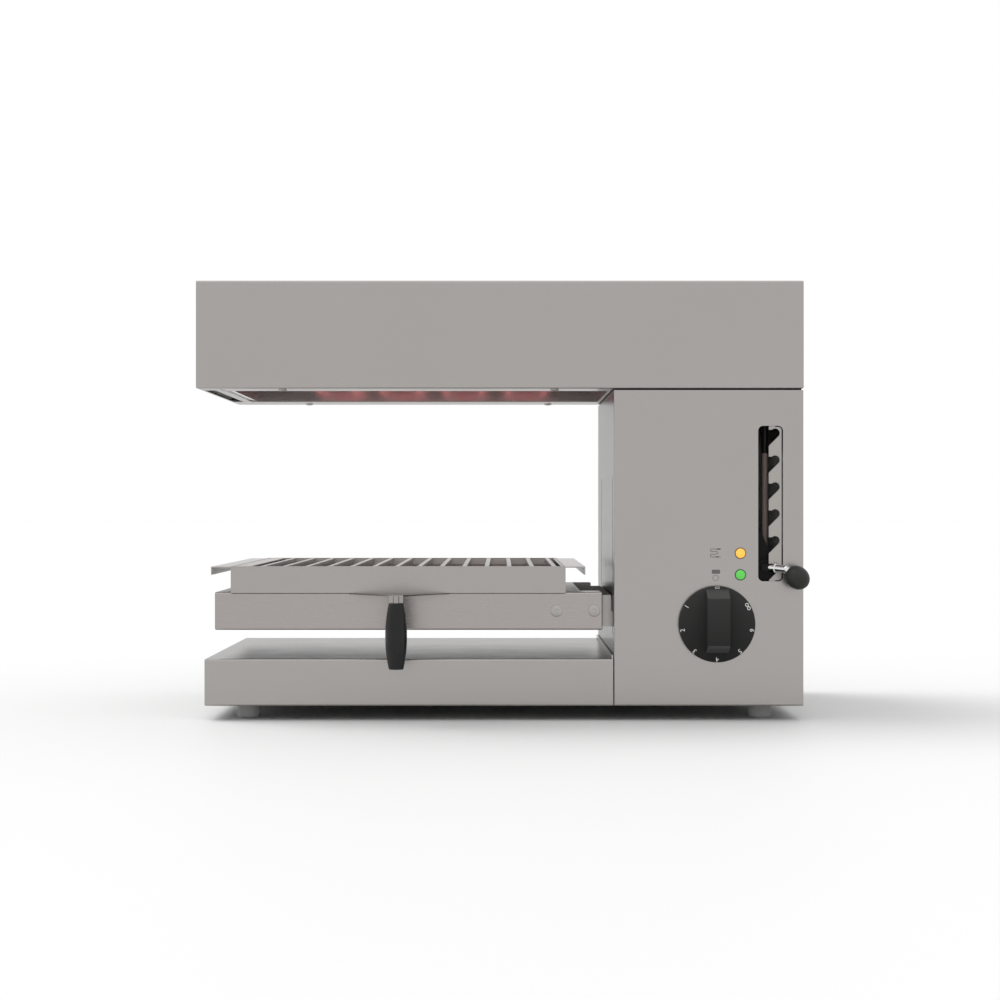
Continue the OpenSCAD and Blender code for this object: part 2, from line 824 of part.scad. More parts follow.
// Threaded fitting, ceramic bead and terminal pin at each leg's end
module element_fittings()
    color("ivory")
        for (x = leg_xs) {
            difference() {
                hex_y(x, element_z, tray_d1 + reflector_sheet, tray_d1 + reflector_sheet + fitting_t,
                      fitting_d);
                bar_y(x, element_z, tray_d1, tray_d1 + reflector_sheet + fitting_t + over,
                      element_d + run_gap);
            }
            bar_y(x, element_z, element_end_d, element_end_d + ceramic_l, ceramic_d);
            bar_y(x, element_z, element_end_d, element_end_d + ceramic_l + pin_l, pin_d);
        }

// Strips that hang from the tray's roof and hold the front of each hairpin
module element_hangers()
    color("gray")
        for (x = leg_xs) {
            slab(x - hanger_w / 2, x + hanger_w / 2, element_bend_d, element_bend_d + hanger_t,
                 element_z + element_d / 2 + fit, tray_z1 - reflector_sheet);
            difference() {
                slab(x - hanger_w / 2, x + hanger_w / 2, element_bend_d, element_bend_d + hanger_t,
                     element_z - element_d / 2 - hanger_t, element_z + element_d / 2 + fit);
                bar_y(x, element_z, element_bend_d - over, element_bend_d + hanger_t + over,
                      element_d + 2 * run_gap);
            }
        }

// Insulation slab over the reflector
module hood_insulation()
    color("khaki")
        slab(tray_x0 - rim_w, col_x0, tray_d0 - rim_w, tray_d1 + rim_w / 2,
             tray_z1, tray_z1 + insulation_h);

// Two main guide rods between the floor plate and the top plate
module guide_rods()
    color("lightgray")
        for (d = guide_ds)
            post(guide_x, d, floor_z1, hood_z - sheet, guide_d);

// Collars that hold the guide rods at both ends
module guide_rod_collars()
    color("gray")
        for (d = guide_ds, z = [floor_z1, hood_z - sheet - collar_h])
            difference() {
                post(guide_x, d, z, z + collar_h, collar_d);
                post(guide_x, d, z - over, z + collar_h + over, guide_d + 2 * run_gap);
            }

// Rubber buffers on the lower collars, where the carriage comes to rest
module stop_buffers()
    color("black")
        for (d = guide_ds)
            difference() {
                post(guide_x, d, floor_z1 + collar_h, carriage_z0 - bush_rim_t, buffer_d);
                post(guide_x, d, floor_z1 + collar_h - over, carriage_z0 + over,
                     guide_d + 2 * buffer_slack);
            }

// Slim rod behind the lever slot that steadies the latch bracket
module latch_guide_rod()
    color("gray")
        post(strut_x, strut_depth, floor_z1, hood_z - sheet, strut_d);

// Outline of one latch notch, open towards the left
module notch_outline(z) {
    tangent = notch_r / sqrt(2);
    translate([notch_x, z]) circle(r = notch_r);
    polygon([
        [teeth_x - over, z + notch_entry],
        [notch_x, z + notch_entry],
        [notch_x + tangent, z - tangent],
        [teeth_x - over, z - 2 * tangent - (notch_x - teeth_x) - over]
    ]);
}

// Latch plate behind the slot: a toothed strip with a fixing tab above and below
module notch_plate()
    color("silver") {
        front_plate(notch_d0, notch_d1)
            difference() {
                union() {
                    translate([teeth_x, slot_z0 + notch_end])
                        square([notch_x1 - teeth_x - notch_corner_r, slot_h - 2 * notch_end]);
                    translate([teeth_x, slot_z0 + notch_end])
                        round_rect(notch_x1 - teeth_x, slot_h - 2 * notch_end, notch_corner_r);
                    translate([notch_x - notch_neck_w, slot_z0 - notch_neck_l])
                        square([notch_neck_w, slot_h + 2 * notch_neck_l]);
                }
                for (i = [0 : notch_n - 1])
                    notch_outline(notch_low_z + i * notch_pitch);
            }
        difference() {
            for (z = [slot_z0 - notch_neck_l - notch_tab_h, slot_z1 + notch_neck_l])
                slab(notch_x - notch_neck_w / 2 - notch_tab_w / 2,
                     notch_x - notch_neck_w / 2 + notch_tab_w / 2, sheet, notch_d1,
                     z, z + notch_tab_h);
            for (x = notch_screw_xs, z = notch_screw_zs)
                bar_y(x, z, sheet - over, notch_d1 + over, notch_screw_d + 2 * run_gap);
        }
    }

notch_screw_xs = [for (s = [-1, 1]) notch_x - notch_neck_w / 2 + s * notch_tab_w / 4];
notch_screw_zs = [slot_z0 - notch_neck_l - notch_tab_h / 2, slot_z1 + notch_neck_l + notch_tab_h / 2];

// Screws of the latch plate, driven from inside into studs on the panel's back
module notch_plate_screws()
    color("gray")
        for (x = notch_screw_xs, z = notch_screw_zs)
            bar_y(x, z, sheet, notch_d1 + slip, notch_screw_d);

// Extension springs that balance the carriage: plain tubes with the coils' outer size
module counterbalance_springs()
    color("gray")
        for (d = spring_ds)
            difference() {
                post(spring_x, d, spring_lug_z + spring_lug_t, spring_bar_z, spring_d);
                post(spring_x, d, spring_lug_z, spring_bar_z + over, spring_d - 2 * spring_wall);
            }

// Cross bar under the top plate that the springs hang from
module spring_anchor_bar()
    color("gray")
        union() {
            slab(spring_x - spring_bar_w / 2, spring_x + spring_bar_w / 2,
                 spring_ds[0] - spring_d, spring_ds[1] + spring_d,
                 spring_bar_z, spring_bar_z + spring_bar_h);
            for (d = [spring_ds[0] - spring_d, spring_ds[1] + spring_d - spring_bar_leg_t])
                slab(spring_x - spring_bar_w / 2, spring_x + spring_bar_w / 2,
                     d, d + spring_bar_leg_t, spring_bar_z, hood_z - sheet);
        }

// Energy regulator behind the panel, with a threaded neck for the shaft
module energy_regulator()
    color("ivory")
        difference() {
            union() {
                slab(dial_x - regulator_w / 2, dial_x + regulator_w / 2, sheet, sheet + regulator_d,
                     dial_z - regulator_w / 2, dial_z + regulator_w / 2);
                bar_y(dial_x, dial_z, 0, sheet + over, regulator_neck_d);
            }
            bar_y(dial_x, dial_z, -over, shaft_in + slip, shaft_d + 2 * run_gap);
            for (s = [-1, 1])
                bar_y(dial_x + s * regulator_screw_span / 2, dial_z, 0, shaft_in / 2 + slip,
                      regulator_screw_d + 2 * run_gap);
        }

// Screws that hold the regulator, under the dial's skirt
module regulator_screws()
    color("gray")
        for (s = [-1, 1]) {
            bar_y(dial_x + s * regulator_screw_span / 2, dial_z, -regulator_screw_head_h, 0,
                  regulator_screw_head_d);
            bar_y(dial_x + s * regulator_screw_span / 2, dial_z, -regulator_screw_head_h,
                  shaft_in / 2, regulator_screw_d);
        }

// Shaft between the dial knob and the regulator
module regulator_shaft()
    color("lightgray")
        bar_y(dial_x, dial_z, -shaft_out, shaft_in, shaft_d);

// Side outline of the dial's grip bar: depth towards the viewer against height
module dial_grip_outline(out)
    polygon([
        [dial_gap + dial_skirt_t / 2, -dial_grip_down - dial_slope_down],
        [dial_gap + dial_skirt_t, -dial_grip_down - dial_slope_down],
        [out - dial_bevel, -dial_grip_down],
        [out, -dial_grip_down + dial_bevel],
        [out, dial_grip_up - dial_bevel],
        [out - dial_bevel, dial_grip_up],
        [dial_gap + dial_skirt_t, dial_grip_up + dial_slope_up],
        [dial_gap + dial_skirt_t / 2, dial_grip_up + dial_slope_up]
    ]);

// Dial knob: a bevelled skirt with a grip bar across it
module dial_knob()
    color([0.13, 0.13, 0.13])
        translate([dial_x, front_y, dial_z])
            difference() {
                union() {
                    rotate([90, 0, 0])
                        rotate_extrude()
                            polygon([
                                [0, dial_gap],
                                [dial_d / 2, dial_gap],
                                [dial_d / 2, dial_gap + dial_skirt_t - dial_bevel],
                                [dial_d / 2 - dial_bevel, dial_gap + dial_skirt_t],
                                [0, dial_gap + dial_skirt_t]
                            ]);
                    intersection() {
                        translate([-dial_grip_w / 2, 0, 0])
                            rotate([90, 0, 90])
                                linear_extrude(dial_grip_w)
                                    mirror([1, 0])
                                        dial_grip_outline(dial_grip_out);
                        rotate([90, 0, 0])
                            cylinder(d = dial_d - 2 * dial_bevel, h = dial_grip_out + over);
                    }
                }
                rotate([90, 0, 0])
                    cylinder(d = shaft_d + run_gap, h = shaft_out + slip);
            }

// Dark rings round the two lamps
module lamp_bezels()
    color([0.1, 0.1, 0.1])
        for (z = lamp_zs)
            difference() {
                bar_y(lamp_x, z, -lamp_ring_t, 0, lens_d + 2 * lamp_ring_w);
                bar_y(lamp_x, z, -lamp_ring_t - over, over, lens_d + 2 * run_gap);
            }

// Domed lens of one lamp
module lens(z)
    translate([lamp_x, front_y, z])
        rotate([90, 0, 0])
            rotate_extrude()
                polygon([
                    [0, 0],
                    [lens_d / 2, 0],
                    [lens_d / 2, lens_out / 2],
                    [lens_d * 0.44, lens_out * 0.8],
                    [lens_d * 0.3, lens_out],
                    [0, lens_out]
                ]);

module lamp_lens_amber()
    color("orange")
        lens(lamp_zs[0]);

module lamp_lens_green()
    color("limegreen")
        lens(lamp_zs[1]);

// Lamp housings behind the panel
module lamp_bodies()
    color("dimgray")
        for (z = lamp_zs)
            bar_y(lamp_x, z, 0, lamp_body_l, lamp_body_d);

// Terminal block on the floor plate behind the gland
module terminal_block()
    color("ivory")
        slab(gland_x - terminal_w / 2, gland_x + terminal_w / 2,
             body_d - 4 * sheet - terminal_d - gland_out, body_d - 4 * sheet - gland_out,
             floor_z1, floor_z1 + terminal_h);

// Gland for the supply cord: hexagon outside, thread and nut inside, bore through
module cable_gland()
    color([0.15, 0.15, 0.15])
        difference() {
            union() {
                hex_y(gland_x, gland_z, body_d, body_d + gland_out / 2, gland_hex / cos(30));
                bar_y(gland_x, gland_z, body_d + gland_out / 2, body_d + gland_out, gland_thread_d);
                bar_y(gland_x, gland_z, body_d - sheet - 2 * gland_nut_t, body_d, gland_thread_d);
                hex_y(gland_x, gland_z, body_d - sheet - gland_nut_t, body_d - sheet,
                      gland_hex / cos(30));
            }
            bar_y(gland_x, gland_z, body_d - sheet - 2 * gland_nut_t - over, body_d + gland_out + over,
                  gland_bore);
        }

// Stud for the equipotential bonding conductor
module bonding_stud()
    color("lightgray")
        union() {
            bar_y(stud_x, stud_z, body_d - sheet - stud_head_t, body_d + stud_l, stud_d);
            hex_y(stud_x, stud_z, body_d - sheet - stud_head_t, body_d - sheet, stud_head_d);
            bar_y(stud_x, stud_z, body_d, body_d + stud_head_t / 2, stud_head_d);
        }

// Run of the wiring loom along one stretch, with round ends
module loom_run(a, b) {
    v = b - a;
    translate(a) sphere(d = loom_d);
    translate(b) sphere(d = loom_d);
    translate(a)
        rotate([0, acos(v.z / norm(v)), atan2(v.y, v.x)])
            cylinder(d = loom_d, h = norm(v));
}

// Wiring loom from the regulator along the floor to the terminals and up into the hood
module wiring_loom()
    color([0.2, 0.2, 0.2]) {
        route = [
            [wire_x, front_y + sheet + regulator_d / 2, dial_z - regulator_w / 2 - loom_d / 2],
            [wire_x, front_y + sheet + regulator_d / 2, loom_floor_z],
            [wire_x, front_y + body_d - 4 * sheet - terminal_d - gland_out - loom_d / 2 - fit,
             loom_floor_z]
        ];
        riser = [
            [wire_x, front_y + wire_d, floor_z1 + terminal_h + loom_d / 2 + fit],
            [wire_x, front_y + wire_d, element_z],
            [wire_x, front_y + loom_hood_depth, element_z],
            [leg_xs[0], front_y + loom_hood_depth, element_z]
        ];
        for (i = [0 : len(route) - 2])
            loom_run(route[i], route[i + 1]);
        for (i = [0 : len(riser) - 2])
            loom_run(riser[i], riser[i + 1]);
    }

// Upright carriage plate in the column, with bush housings and a lug for each spring
module carriage_plate()
    color("lightgray")
        difference() {
            union() {
                slab(carriage_x0, carriage_x1, carriage_d0, carriage_d1, carriage_z0, carriage_z1);
                for (d = [carriage_d0, carriage_d1 - arm_sheet])
                    slab(carriage_x0, tail_x1, d, d + arm_sheet, carriage_z0, tail_z1 + tail_h);
                for (d = guide_ds, z = [carriage_z0, carriage_z1 - housing_h])
                    slab(carriage_x0, guide_x + housing_w / 2, d - housing_w / 2, d + housing_w / 2,
                         z, z + housing_h);
                slab(carriage_x0, spring_x + spring_d / 2, spring_ds[0] - spring_d / 2,
                     spring_ds[1] + spring_d / 2, spring_lug_z, spring_lug_z + spring_lug_t);
            }
            for (d = guide_ds)
                post(guide_x, d, carriage_z0 - over, carriage_z1 + over,
                     guide_d + 2 * bush_wall + 2 * run_gap);
            for (d = [carriage_d0, carriage_d1 - arm_sheet], x = carriage_bolt_in)
                bar_y(carriage_x1 + x, (arm_z0 + tail_z1) / 2, d - over, d + arm_sheet + over,
                      carriage_bolt_d + 2 * fit);
            for (z = bracket_bolt_zs)
                bar_x(bracket_bolt_depth, z, carriage_x0 - over, carriage_x1 + over,
                      carriage_bolt_d + 2 * fit);
        }

// Flanged bronze bushes in the carriage's housings
module carriage_bushes()
    color("peru")
        for (d = guide_ds, top = [0, 1]) {
            z0 = top == 1 ? carriage_z1 - housing_h : carriage_z0;
            rim_z = top == 1 ? carriage_z1 : carriage_z0 - bush_rim_t;
            difference() {
                union() {
                    post(guide_x, d, z0, z0 + housing_h, guide_d + 2 * bush_wall);
                    post(guide_x, d, rim_z, rim_z + bush_rim_t, bush_rim_d);
                }
                post(guide_x, d, z0 - bush_rim_t - over, z0 + housing_h + bush_rim_t + over,
                     guide_d + 2 * run_gap);
            }
        }

// Arm bracket: a web with a front and a rear arm whose tails pass through the wall
module carriage_arms()
    color("lightgray")
        difference() {
            union() {
                slab(arm_x0, arm_x1, arm_d0, arm_d1, arm_z1 - arm_sheet, arm_z1);
                for (d = [arm_d0, arm_d1 - arm_sheet]) {
                    slab(arm_x0, arm_x1, d, d + arm_sheet, arm_z0, arm_z1);
                    slab(arm_x0, tail_x1, d, d + arm_sheet, arm_z0, tail_z1);
                }
            }
            for (x = carrier_screw_xs)
                bar_y(x, carrier_screw_z, arm_d0 - over, arm_d1 + over, carrier_screw_d + 2 * fit);
            for (x = carriage_bolt_in)
                bar_y(carriage_x1 + x, (arm_z0 + tail_z1) / 2, arm_d0 - over, arm_d1 + over,
                      carriage_bolt_d + 2 * fit);
        }

// Bolts between the arms' tails and the carriage plate
module carriage_bolts()
    color("gray") {
        for (x = carriage_bolt_in) {
            bar_y(carriage_x1 + x, (arm_z0 + tail_z1) / 2, arm_d0 - carriage_bolt_head_h,
                  arm_d0, carriage_bolt_head_d);
            bar_y(carriage_x1 + x, (arm_z0 + tail_z1) / 2, arm_d0 - carriage_bolt_head_h,
                  carriage_d0 + arm_sheet + carriage_bolt_head_h, carriage_bolt_d);
            hex_y(carriage_x1 + x, (arm_z0 + tail_z1) / 2, carriage_d0 + arm_sheet,
                  carriage_d0 + arm_sheet + carriage_bolt_head_h, carriage_bolt_head_d);
            bar_y(carriage_x1 + x, (arm_z0 + tail_z1) / 2, arm_d1,
                  arm_d1 + carriage_bolt_head_h, carriage_bolt_head_d);
            bar_y(carriage_x1 + x, (arm_z0 + tail_z1) / 2, carriage_d1 - arm_sheet
                  - carriage_bolt_head_h, arm_d1 + carriage_bolt_head_h, carriage_bolt_d);
            hex_y(carriage_x1 + x, (arm_z0 + tail_z1) / 2, carriage_d1 - arm_sheet
                  - carriage_bolt_head_h, carriage_d1 - arm_sheet, carriage_bolt_head_d);
        }
    }

// Carrier: an inverted tray whose top plate stops short of the right end
module carrier_frame()
    color("silver")
        difference() {
            folded_box(carrier_x0, carrier_x1, carrier_front, carrier_front + carrier_d,
                       carrier_z0, carrier_top_z, carrier_bend, true);
            slab(carrier_x0 + sheet, carrier_x1 + over, carrier_front + sheet,
                 carrier_front + carrier_d - sheet, carrier_z0 - over, carrier_top_z - sheet);
            slab(carrier_x1 - carrier_window, carrier_x1 + over, carrier_front + carrier_strip,
                 carrier_front + carrier_d - carrier_lip, carrier_top_z - sheet - over,
                 carrier_top_z + over);
            for (x = carrier_screw_xs)
                bar_y(x, carrier_screw_z, carrier_front - over, carrier_front + carrier_d + over,
                      carrier_screw_d + 2 * fit);
        }

// Spacer tubes between the carrier's walls and the arms
module carrier_spacers()
    color("gray")
        for (x = carrier_screw_xs,
             r = [[carrier_front + sheet, arm_d0],
                  [arm_d1, carrier_front + carrier_d - sheet]])
            difference() {
                bar_y(x, carrier_screw_z, r[0], r[1], spacer_d);
                bar_y(x, carrier_screw_z, r[0] - over, r[1] + over,
                      carrier_screw_d + 2 * spacer_slack);
            }

// Round-headed screws that hold the carrier to the arms, with their nuts
module carrier_screws()
    color("lightgray")
        for (x = carrier_screw_xs) {
            bar_y(x, carrier_screw_z, carrier_front - carrier_head_h, carrier_front, carrier_head_d);
            bar_y(x, carrier_screw_z, carrier_front - carrier_head_h,
                  arm_d0 + arm_sheet + carriage_bolt_head_h, carrier_screw_d);
            hex_y(x, carrier_screw_z, arm_d0 + arm_sheet,
                  arm_d0 + arm_sheet + carriage_bolt_head_h, carrier_head_d);
            bar_y(x, carrier_screw_z, carrier_front + carrier_d,
                  carrier_front + carrier_d + carrier_head_h, carrier_head_d);
            bar_y(x, carrier_screw_z, arm_d1 - arm_sheet - carriage_bolt_head_h,
                  carrier_front + carrier_d + carrier_head_h, carrier_screw_d);
            hex_y(x, carrier_screw_z, arm_d1 - arm_sheet - carriage_bolt_head_h,
                  arm_d1 - arm_sheet, carrier_head_d);
        }

// Bolts of the latch bracket's foot on the carriage plate
bracket_bolt_zs = [for (s = [0.25, 0.75]) bracket_low + s * bracket_beam_h];
bracket_bolt_in = 12;
bracket_bolt_depth = bracket_d1 + bracket_bolt_in;

// Latch bracket: a beam from the carriage to the slot, a return and a face plate
module latch_bracket()
    color([0.16, 0.16, 0.16])
        difference() {
            union() {
                slab(carriage_x1, bracket_x1, bracket_d0, bracket_d1, bracket_low,
                     bracket_low + bracket_beam_h);
                slab(carriage_x1, carriage_x1 + arm_sheet, bracket_d0, bracket_bolt_depth + 8 * fit
                     + carriage_bolt_d, bracket_low, bracket_low + bracket_beam_h);
                slab(bracket_x1 - arm_sheet, bracket_x1, bracket_face_d0, bracket_d1,
                     bracket_low, bracket_low + bracket_beam_h);
                front_plate(bracket_face_d0, bracket_face_d1)
                    polygon([
                        [bracket_face_x0, bracket_face_z0],
                        [bracket_x1, bracket_face_z0],
                        [bracket_x1, bracket_low + bracket_beam_h],
                        [teeth_x + notch_r, bracket_slope_top - 2.1 * (teeth_x + notch_r - slot_x0)],
                        [slot_x0 + (bracket_slope_top - bracket_gusset_top) / 2.1,
                         bracket_gusset_top],
                        [bracket_face_x0, bracket_gusset_top]
                    ]);
                slab(strut_x - eye_w / 2, strut_x + eye_w / 2, strut_depth - eye_front, bracket_d0,
                     bracket_low, bracket_low + eye_h);
            }
            post(strut_x, strut_depth, bracket_low - over, bracket_low + eye_h + over,
                 strut_d + 2 * run_gap);
            bar_y(pivot_x, pivot_z, bracket_face_d0 - over, bracket_face_d1 + over,
                  pivot_d + 2 * run_gap);
            for (z = bracket_bolt_zs)
                bar_x(bracket_bolt_depth, z, carriage_x1 - over, carriage_x1 + arm_sheet + over,
                      carriage_bolt_d + 2 * fit);
        }

// Pin that the latch lever turns on, and the bolts of the bracket's foot
module lever_pivot_pin()
    color("lightgray") {
        bar_y(pivot_x, pivot_z, lever_d0, lever_d0 + pivot_l, pivot_d);
        for (z = bracket_bolt_zs) {
            bar_x(bracket_bolt_depth, z, carriage_x1 + arm_sheet,
                  carriage_x1 + arm_sheet + carriage_bolt_head_h, carriage_bolt_head_d);
            bar_x(bracket_bolt_depth, z, carriage_x0, carriage_x1 + arm_sheet
                  + carriage_bolt_head_h, carriage_bolt_d);
        }
    }

// Latch lever: an arm behind the latch plate, a nose through the channel and a front tab
module latch_lever()
    color([0.1, 0.1, 0.1])
        difference() {
            union() {
                front_plate(lever_d0, lever_d1) {
                    translate([pivot_x, pivot_z]) circle(r = lever_boss_r);
                    translate([nose_x, nose_z]) circle(r = lever_head_r);
                    polygon([
                        [pivot_x - lever_boss_r, pivot_z],
                        [pivot_x + lever_boss_r, pivot_z],
                        [nose_x + lever_head_r, nose_z],
                        [nose_x - lever_head_r, nose_z]
                    ]);
                }
                bar_y(nose_x, nose_z, -tab_out, lever_d1, nose_d);
                slab(tab_x0, tab_x1, -tab_out, tab_d1, tab_z0, tab_z1);
            }
            bar_y(pivot_x, pivot_z, lever_d0 - over, lever_d1 + over, pivot_d + 2 * run_gap);
        }

// Frame of the lever rod: its own +Z runs from the tab to the bend
module along_rod()
    translate([rod_root_x, front_y - tab_out, rod_root_z])
        rotate([0, 0, rod_yaw])
            rotate([90 + rod_pitch, 0, 0])
                children();

// Frame of the rod's end: its own +Z runs from the bend into the ball
module along_ball()
    along_rod()
        translate([0, 0, rod_l])
            rotate([ball_pitch - rod_pitch, 0, 0])
                children();

// Chrome lever rod with a collar at its root and a bend before the ball
module lever_rod()
    color("gainsboro")
        difference() {
            union() {
                along_rod() {
                    translate([0, 0, -lever_rod_d])
                        cylinder(d = lever_rod_d, h = lever_rod_d + rod_l);
                    translate([0, 0, -lever_rod_d])
                        cylinder(d = rod_collar_d, h = lever_rod_d + rod_collar_l);
                }
                along_ball() {
                    sphere(d = lever_rod_d + rod_bend_swell);
                    cylinder(d = lever_rod_d, h = ball_start + ball_grip);
                }
            }
            slab(rod_root_x - ball_l, rod_root_x + ball_l, -tab_out, ball_l,
                 rod_root_z - ball_l, rod_root_z + ball_l);
        }

// Egg-shaped ball knob, turned about the rod's end, with a flat where the rod enters
module lever_ball()
    color([0.12, 0.12, 0.12])
        along_ball()
            translate([0, 0, ball_start])
                rotate_extrude()
                    difference() {
                        intersection() {
                            translate([0, ball_l / 2 - ball_flat])
                                scale([ball_d / ball_l, 1])
                                    circle(d = ball_l);
                            square([ball_d, ball_l]);
                        }
                        square([lever_rod_d / 2 + ball_bore_slack, ball_grip + fit]);
                    }

// Grill pan: floor, four walls, side flanges with turned-down lips, and grid lugs
module grill_pan()
    color("silver")
        union() {
            difference() {
                slab(pan_x0, pan_x1, pan_front, pan_front + pan_d, pan_z0, pan_z1);
                slab(pan_x0 + pan_sheet, pan_x1 - pan_sheet, pan_front + pan_sheet,
                     pan_front + pan_d - pan_sheet, pan_z0 + pan_sheet, pan_z1 + over);
            }
            for (r = [[pan_x0 - flange_w, pan_x0], [pan_x1, pan_x1 + flange_w]])
                slab(r[0], r[1], pan_front, pan_front + pan_d,
                     pan_z1 - flange_drop - pan_sheet, pan_z1 - flange_drop);
            for (x = [pan_x0 - flange_w, pan_x1 + flange_w - pan_sheet])
                slab(x, x + pan_sheet, pan_front, pan_front + pan_d,
                     pan_z1 - flange_drop - flange_lip_h, pan_z1 - flange_drop);
            slab(pan_x0, pan_x1, pan_front, pan_front + pan_sheet, skirt_z0, pan_z0);
            for (x = [pan_x0 + pan_sheet, pan_x1 - pan_sheet - grid_lug_w],
                 d = [grid_lug_inset, pan_d - grid_lug_inset])
                slab(x, x + grid_lug_w, d, d + grid_lug_l,
                     grid_z0 - slip - grid_lug_t, grid_z0 - slip);
        }

// Grid: a wide strip on the left, a narrow one on the right, bars between two end bars
grid_x0 = pan_x0 + pan_sheet + grid_gap;
grid_x1 = pan_x1 - pan_sheet - grid_gap;
grid_d0 = pan_front + pan_sheet + grid_gap;
grid_d1 = pan_front + pan_d - pan_sheet - grid_gap;
grid_z1 = pan_z1 - flange_drop;
grid_z0 = grid_z1 - bar_h;
bar_x0 = grid_x0 + grid_strip_w + grid_strip_gap;

module grill_grid()
    color("silver")
        union() {
            slab(grid_x0, grid_x0 + grid_strip_w, grid_d0, grid_d1, grid_z1 - pan_sheet, grid_z1);
            slab(grid_x0, grid_x0 + grid_side_w, grid_d0, grid_d1, grid_z0, grid_z1);
            slab(grid_x1 - grid_side_w, grid_x1, grid_d0, grid_d1, grid_z0, grid_z1);
            for (d = [grid_d0, grid_d1 - grid_end_w])
                slab(grid_x0, grid_x1, d, d + grid_end_w, grid_z0, grid_z1 - pan_sheet / 2);
            for (i = [0 : bar_n - 1])
                slab(bar_x0 + i * bar_pitch, bar_x0 + i * bar_pitch + bar_w, grid_d0, grid_d1,
                     grid_z0, grid_z1);
        }

// Handle plate: under the pan, tapering forward to a tang that turns down into the grip
module handle_plate()
    color("silver")
        union() {
            translate([handle_x, front_y, skirt_z0 - handle_sheet])
                linear_extrude(handle_sheet)
                    polygon([
                        [-handle_root_w / 2, pan_front + pan_sheet],
                        [-handle_root_w / 2, pan_front],
                        [-tang_w / 2, -handle_reach + handle_neck],
                        [-tang_w / 2, -handle_reach - handle_sheet / 2],
                        [tang_w / 2, -handle_reach - handle_sheet / 2],
                        [tang_w / 2, -handle_reach + handle_neck],
                        [handle_root_w / 2, pan_front],
                        [handle_root_w / 2, pan_front + pan_sheet]
                    ]);
            slab(handle_x - tang_w / 2, handle_x + tang_w / 2, -handle_reach - handle_sheet / 2,
                 -handle_reach + handle_sheet / 2, grip_z1 + fit, skirt_z0);
            slab(handle_x + tang_w / 2 - handle_sheet, handle_x + tang_w / 2,
                 -handle_reach - handle_sheet / 2, -handle_reach + tang_w / 3,
                 grip_z1 + fit, skirt_z0);
            post(handle_x, -handle_reach, grip_z0 + grip_pocket, skirt_z0 - handle_sheet / 2,
                 tang_rod_d);
        }

// Barrel-shaped grip with a bore for the tang's rod and a pocket for its nut
module handle_grip() {
    sag = (grip_mid_d - grip_end_d) / 2;
    arc_r = (grip_l * grip_l / 4 + sag * sag) / (2 * sag);
    color([0.1, 0.1, 0.1])
        translate([handle_x, front_y - handle_reach, grip_z0])
            difference() {
                rotate_extrude()
                    intersection() {
                        translate([grip_mid_d / 2 - arc_r, grip_l / 2])
                            circle(r = arc_r, $fn = 360);
                        square([grip_mid_d, grip_l]);
                    }
                translate([0, 0, -over])
                    cylinder(d = tang_rod_d + 2 * grip_slack, h = grip_l + 2 * over);
                translate([0, 0, -over])
                    cylinder(d = grip_nut_d + 2 * grip_slack, h = grip_nut_h + grip_pocket + over);
            }
}

// Nut that holds the grip on the tang's rod
module grip_nut()
    color("gray")
        translate([handle_x, front_y - handle_reach, grip_z0 + grip_pocket])
            difference() {
                cylinder(d = grip_nut_d, h = grip_nut_h, $fn = 6);
                translate([0, 0, -over])
                    cylinder(d = tang_rod_d + run_gap, h = grip_nut_h + 2 * over);
            }

base_shell();
chassis_floor();
feet();
foot_screws();
column_front_panel();
column_left_wall();
column_right_wall();
column_rear_cover();
rear_cover_screws();
column_top_plate();
hood_bolts();
hood_shell();
hood_bottom_frame();
hood_frame_screws();
hood_reflector();
heating_elements();
element_fittings();
element_hangers();
hood_insulation();
guide_rods();
guide_rod_collars();
stop_buffers();
latch_guide_rod();
notch_plate();
notch_plate_screws();
counterbalance_springs();
spring_anchor_bar();
energy_regulator();
regulator_screws();
regulator_shaft();
dial_knob();
lamp_bezels();
lamp_lens_amber();
lamp_lens_green();
lamp_bodies();
terminal_block();
cable_gland();
bonding_stud();
wiring_loom();
carriage_plate();
carriage_bushes();
carriage_arms();
carriage_bolts();
carrier_frame();
carrier_spacers();
carrier_screws();
latch_bracket();
lever_pivot_pin();
latch_lever();
lever_rod();
lever_ball();
grill_pan();
handle_plate();
handle_grip();
grip_nut();
grill_grid();
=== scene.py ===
"""Looks of a cheese melter: brushed casing, notched lift with a ball lever, grill pan and dial.

Sizes are in millimetres and MM turns them into metres. Depths are counted back from the plane of
the front panels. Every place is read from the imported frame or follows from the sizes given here.
MERGE is how near points are joined, in millimetres. WIDE lies beyond every side, in metres.
"""

import logging
import math
from dataclasses import dataclass, replace
from enum import Enum
from functools import cache
from typing import Sequence, Union

import bmesh
import bpy
from mathutils import Matrix, Vector


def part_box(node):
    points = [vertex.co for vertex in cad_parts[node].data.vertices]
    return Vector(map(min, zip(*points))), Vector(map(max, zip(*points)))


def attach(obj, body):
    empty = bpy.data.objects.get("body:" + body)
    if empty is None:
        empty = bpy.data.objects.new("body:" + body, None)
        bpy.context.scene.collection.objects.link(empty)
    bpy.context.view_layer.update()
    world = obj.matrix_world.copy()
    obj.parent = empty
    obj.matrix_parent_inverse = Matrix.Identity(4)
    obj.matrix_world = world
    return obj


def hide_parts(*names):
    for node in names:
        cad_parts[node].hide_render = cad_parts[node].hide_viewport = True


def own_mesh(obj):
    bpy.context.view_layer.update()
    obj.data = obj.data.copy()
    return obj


LOG = logging.getLogger("cheese_melter")
MM = 0.001
MERGE = 0.001
WIDE = 9.0
Colour = tuple[float, float, float]
Point = tuple[float, float, float]
Pair = tuple[float, float]
Bar = tuple[float, float, float, float]
Weave = tuple[tuple[Union["Pattern", None], float], ...]
Number = Union["Value", float]
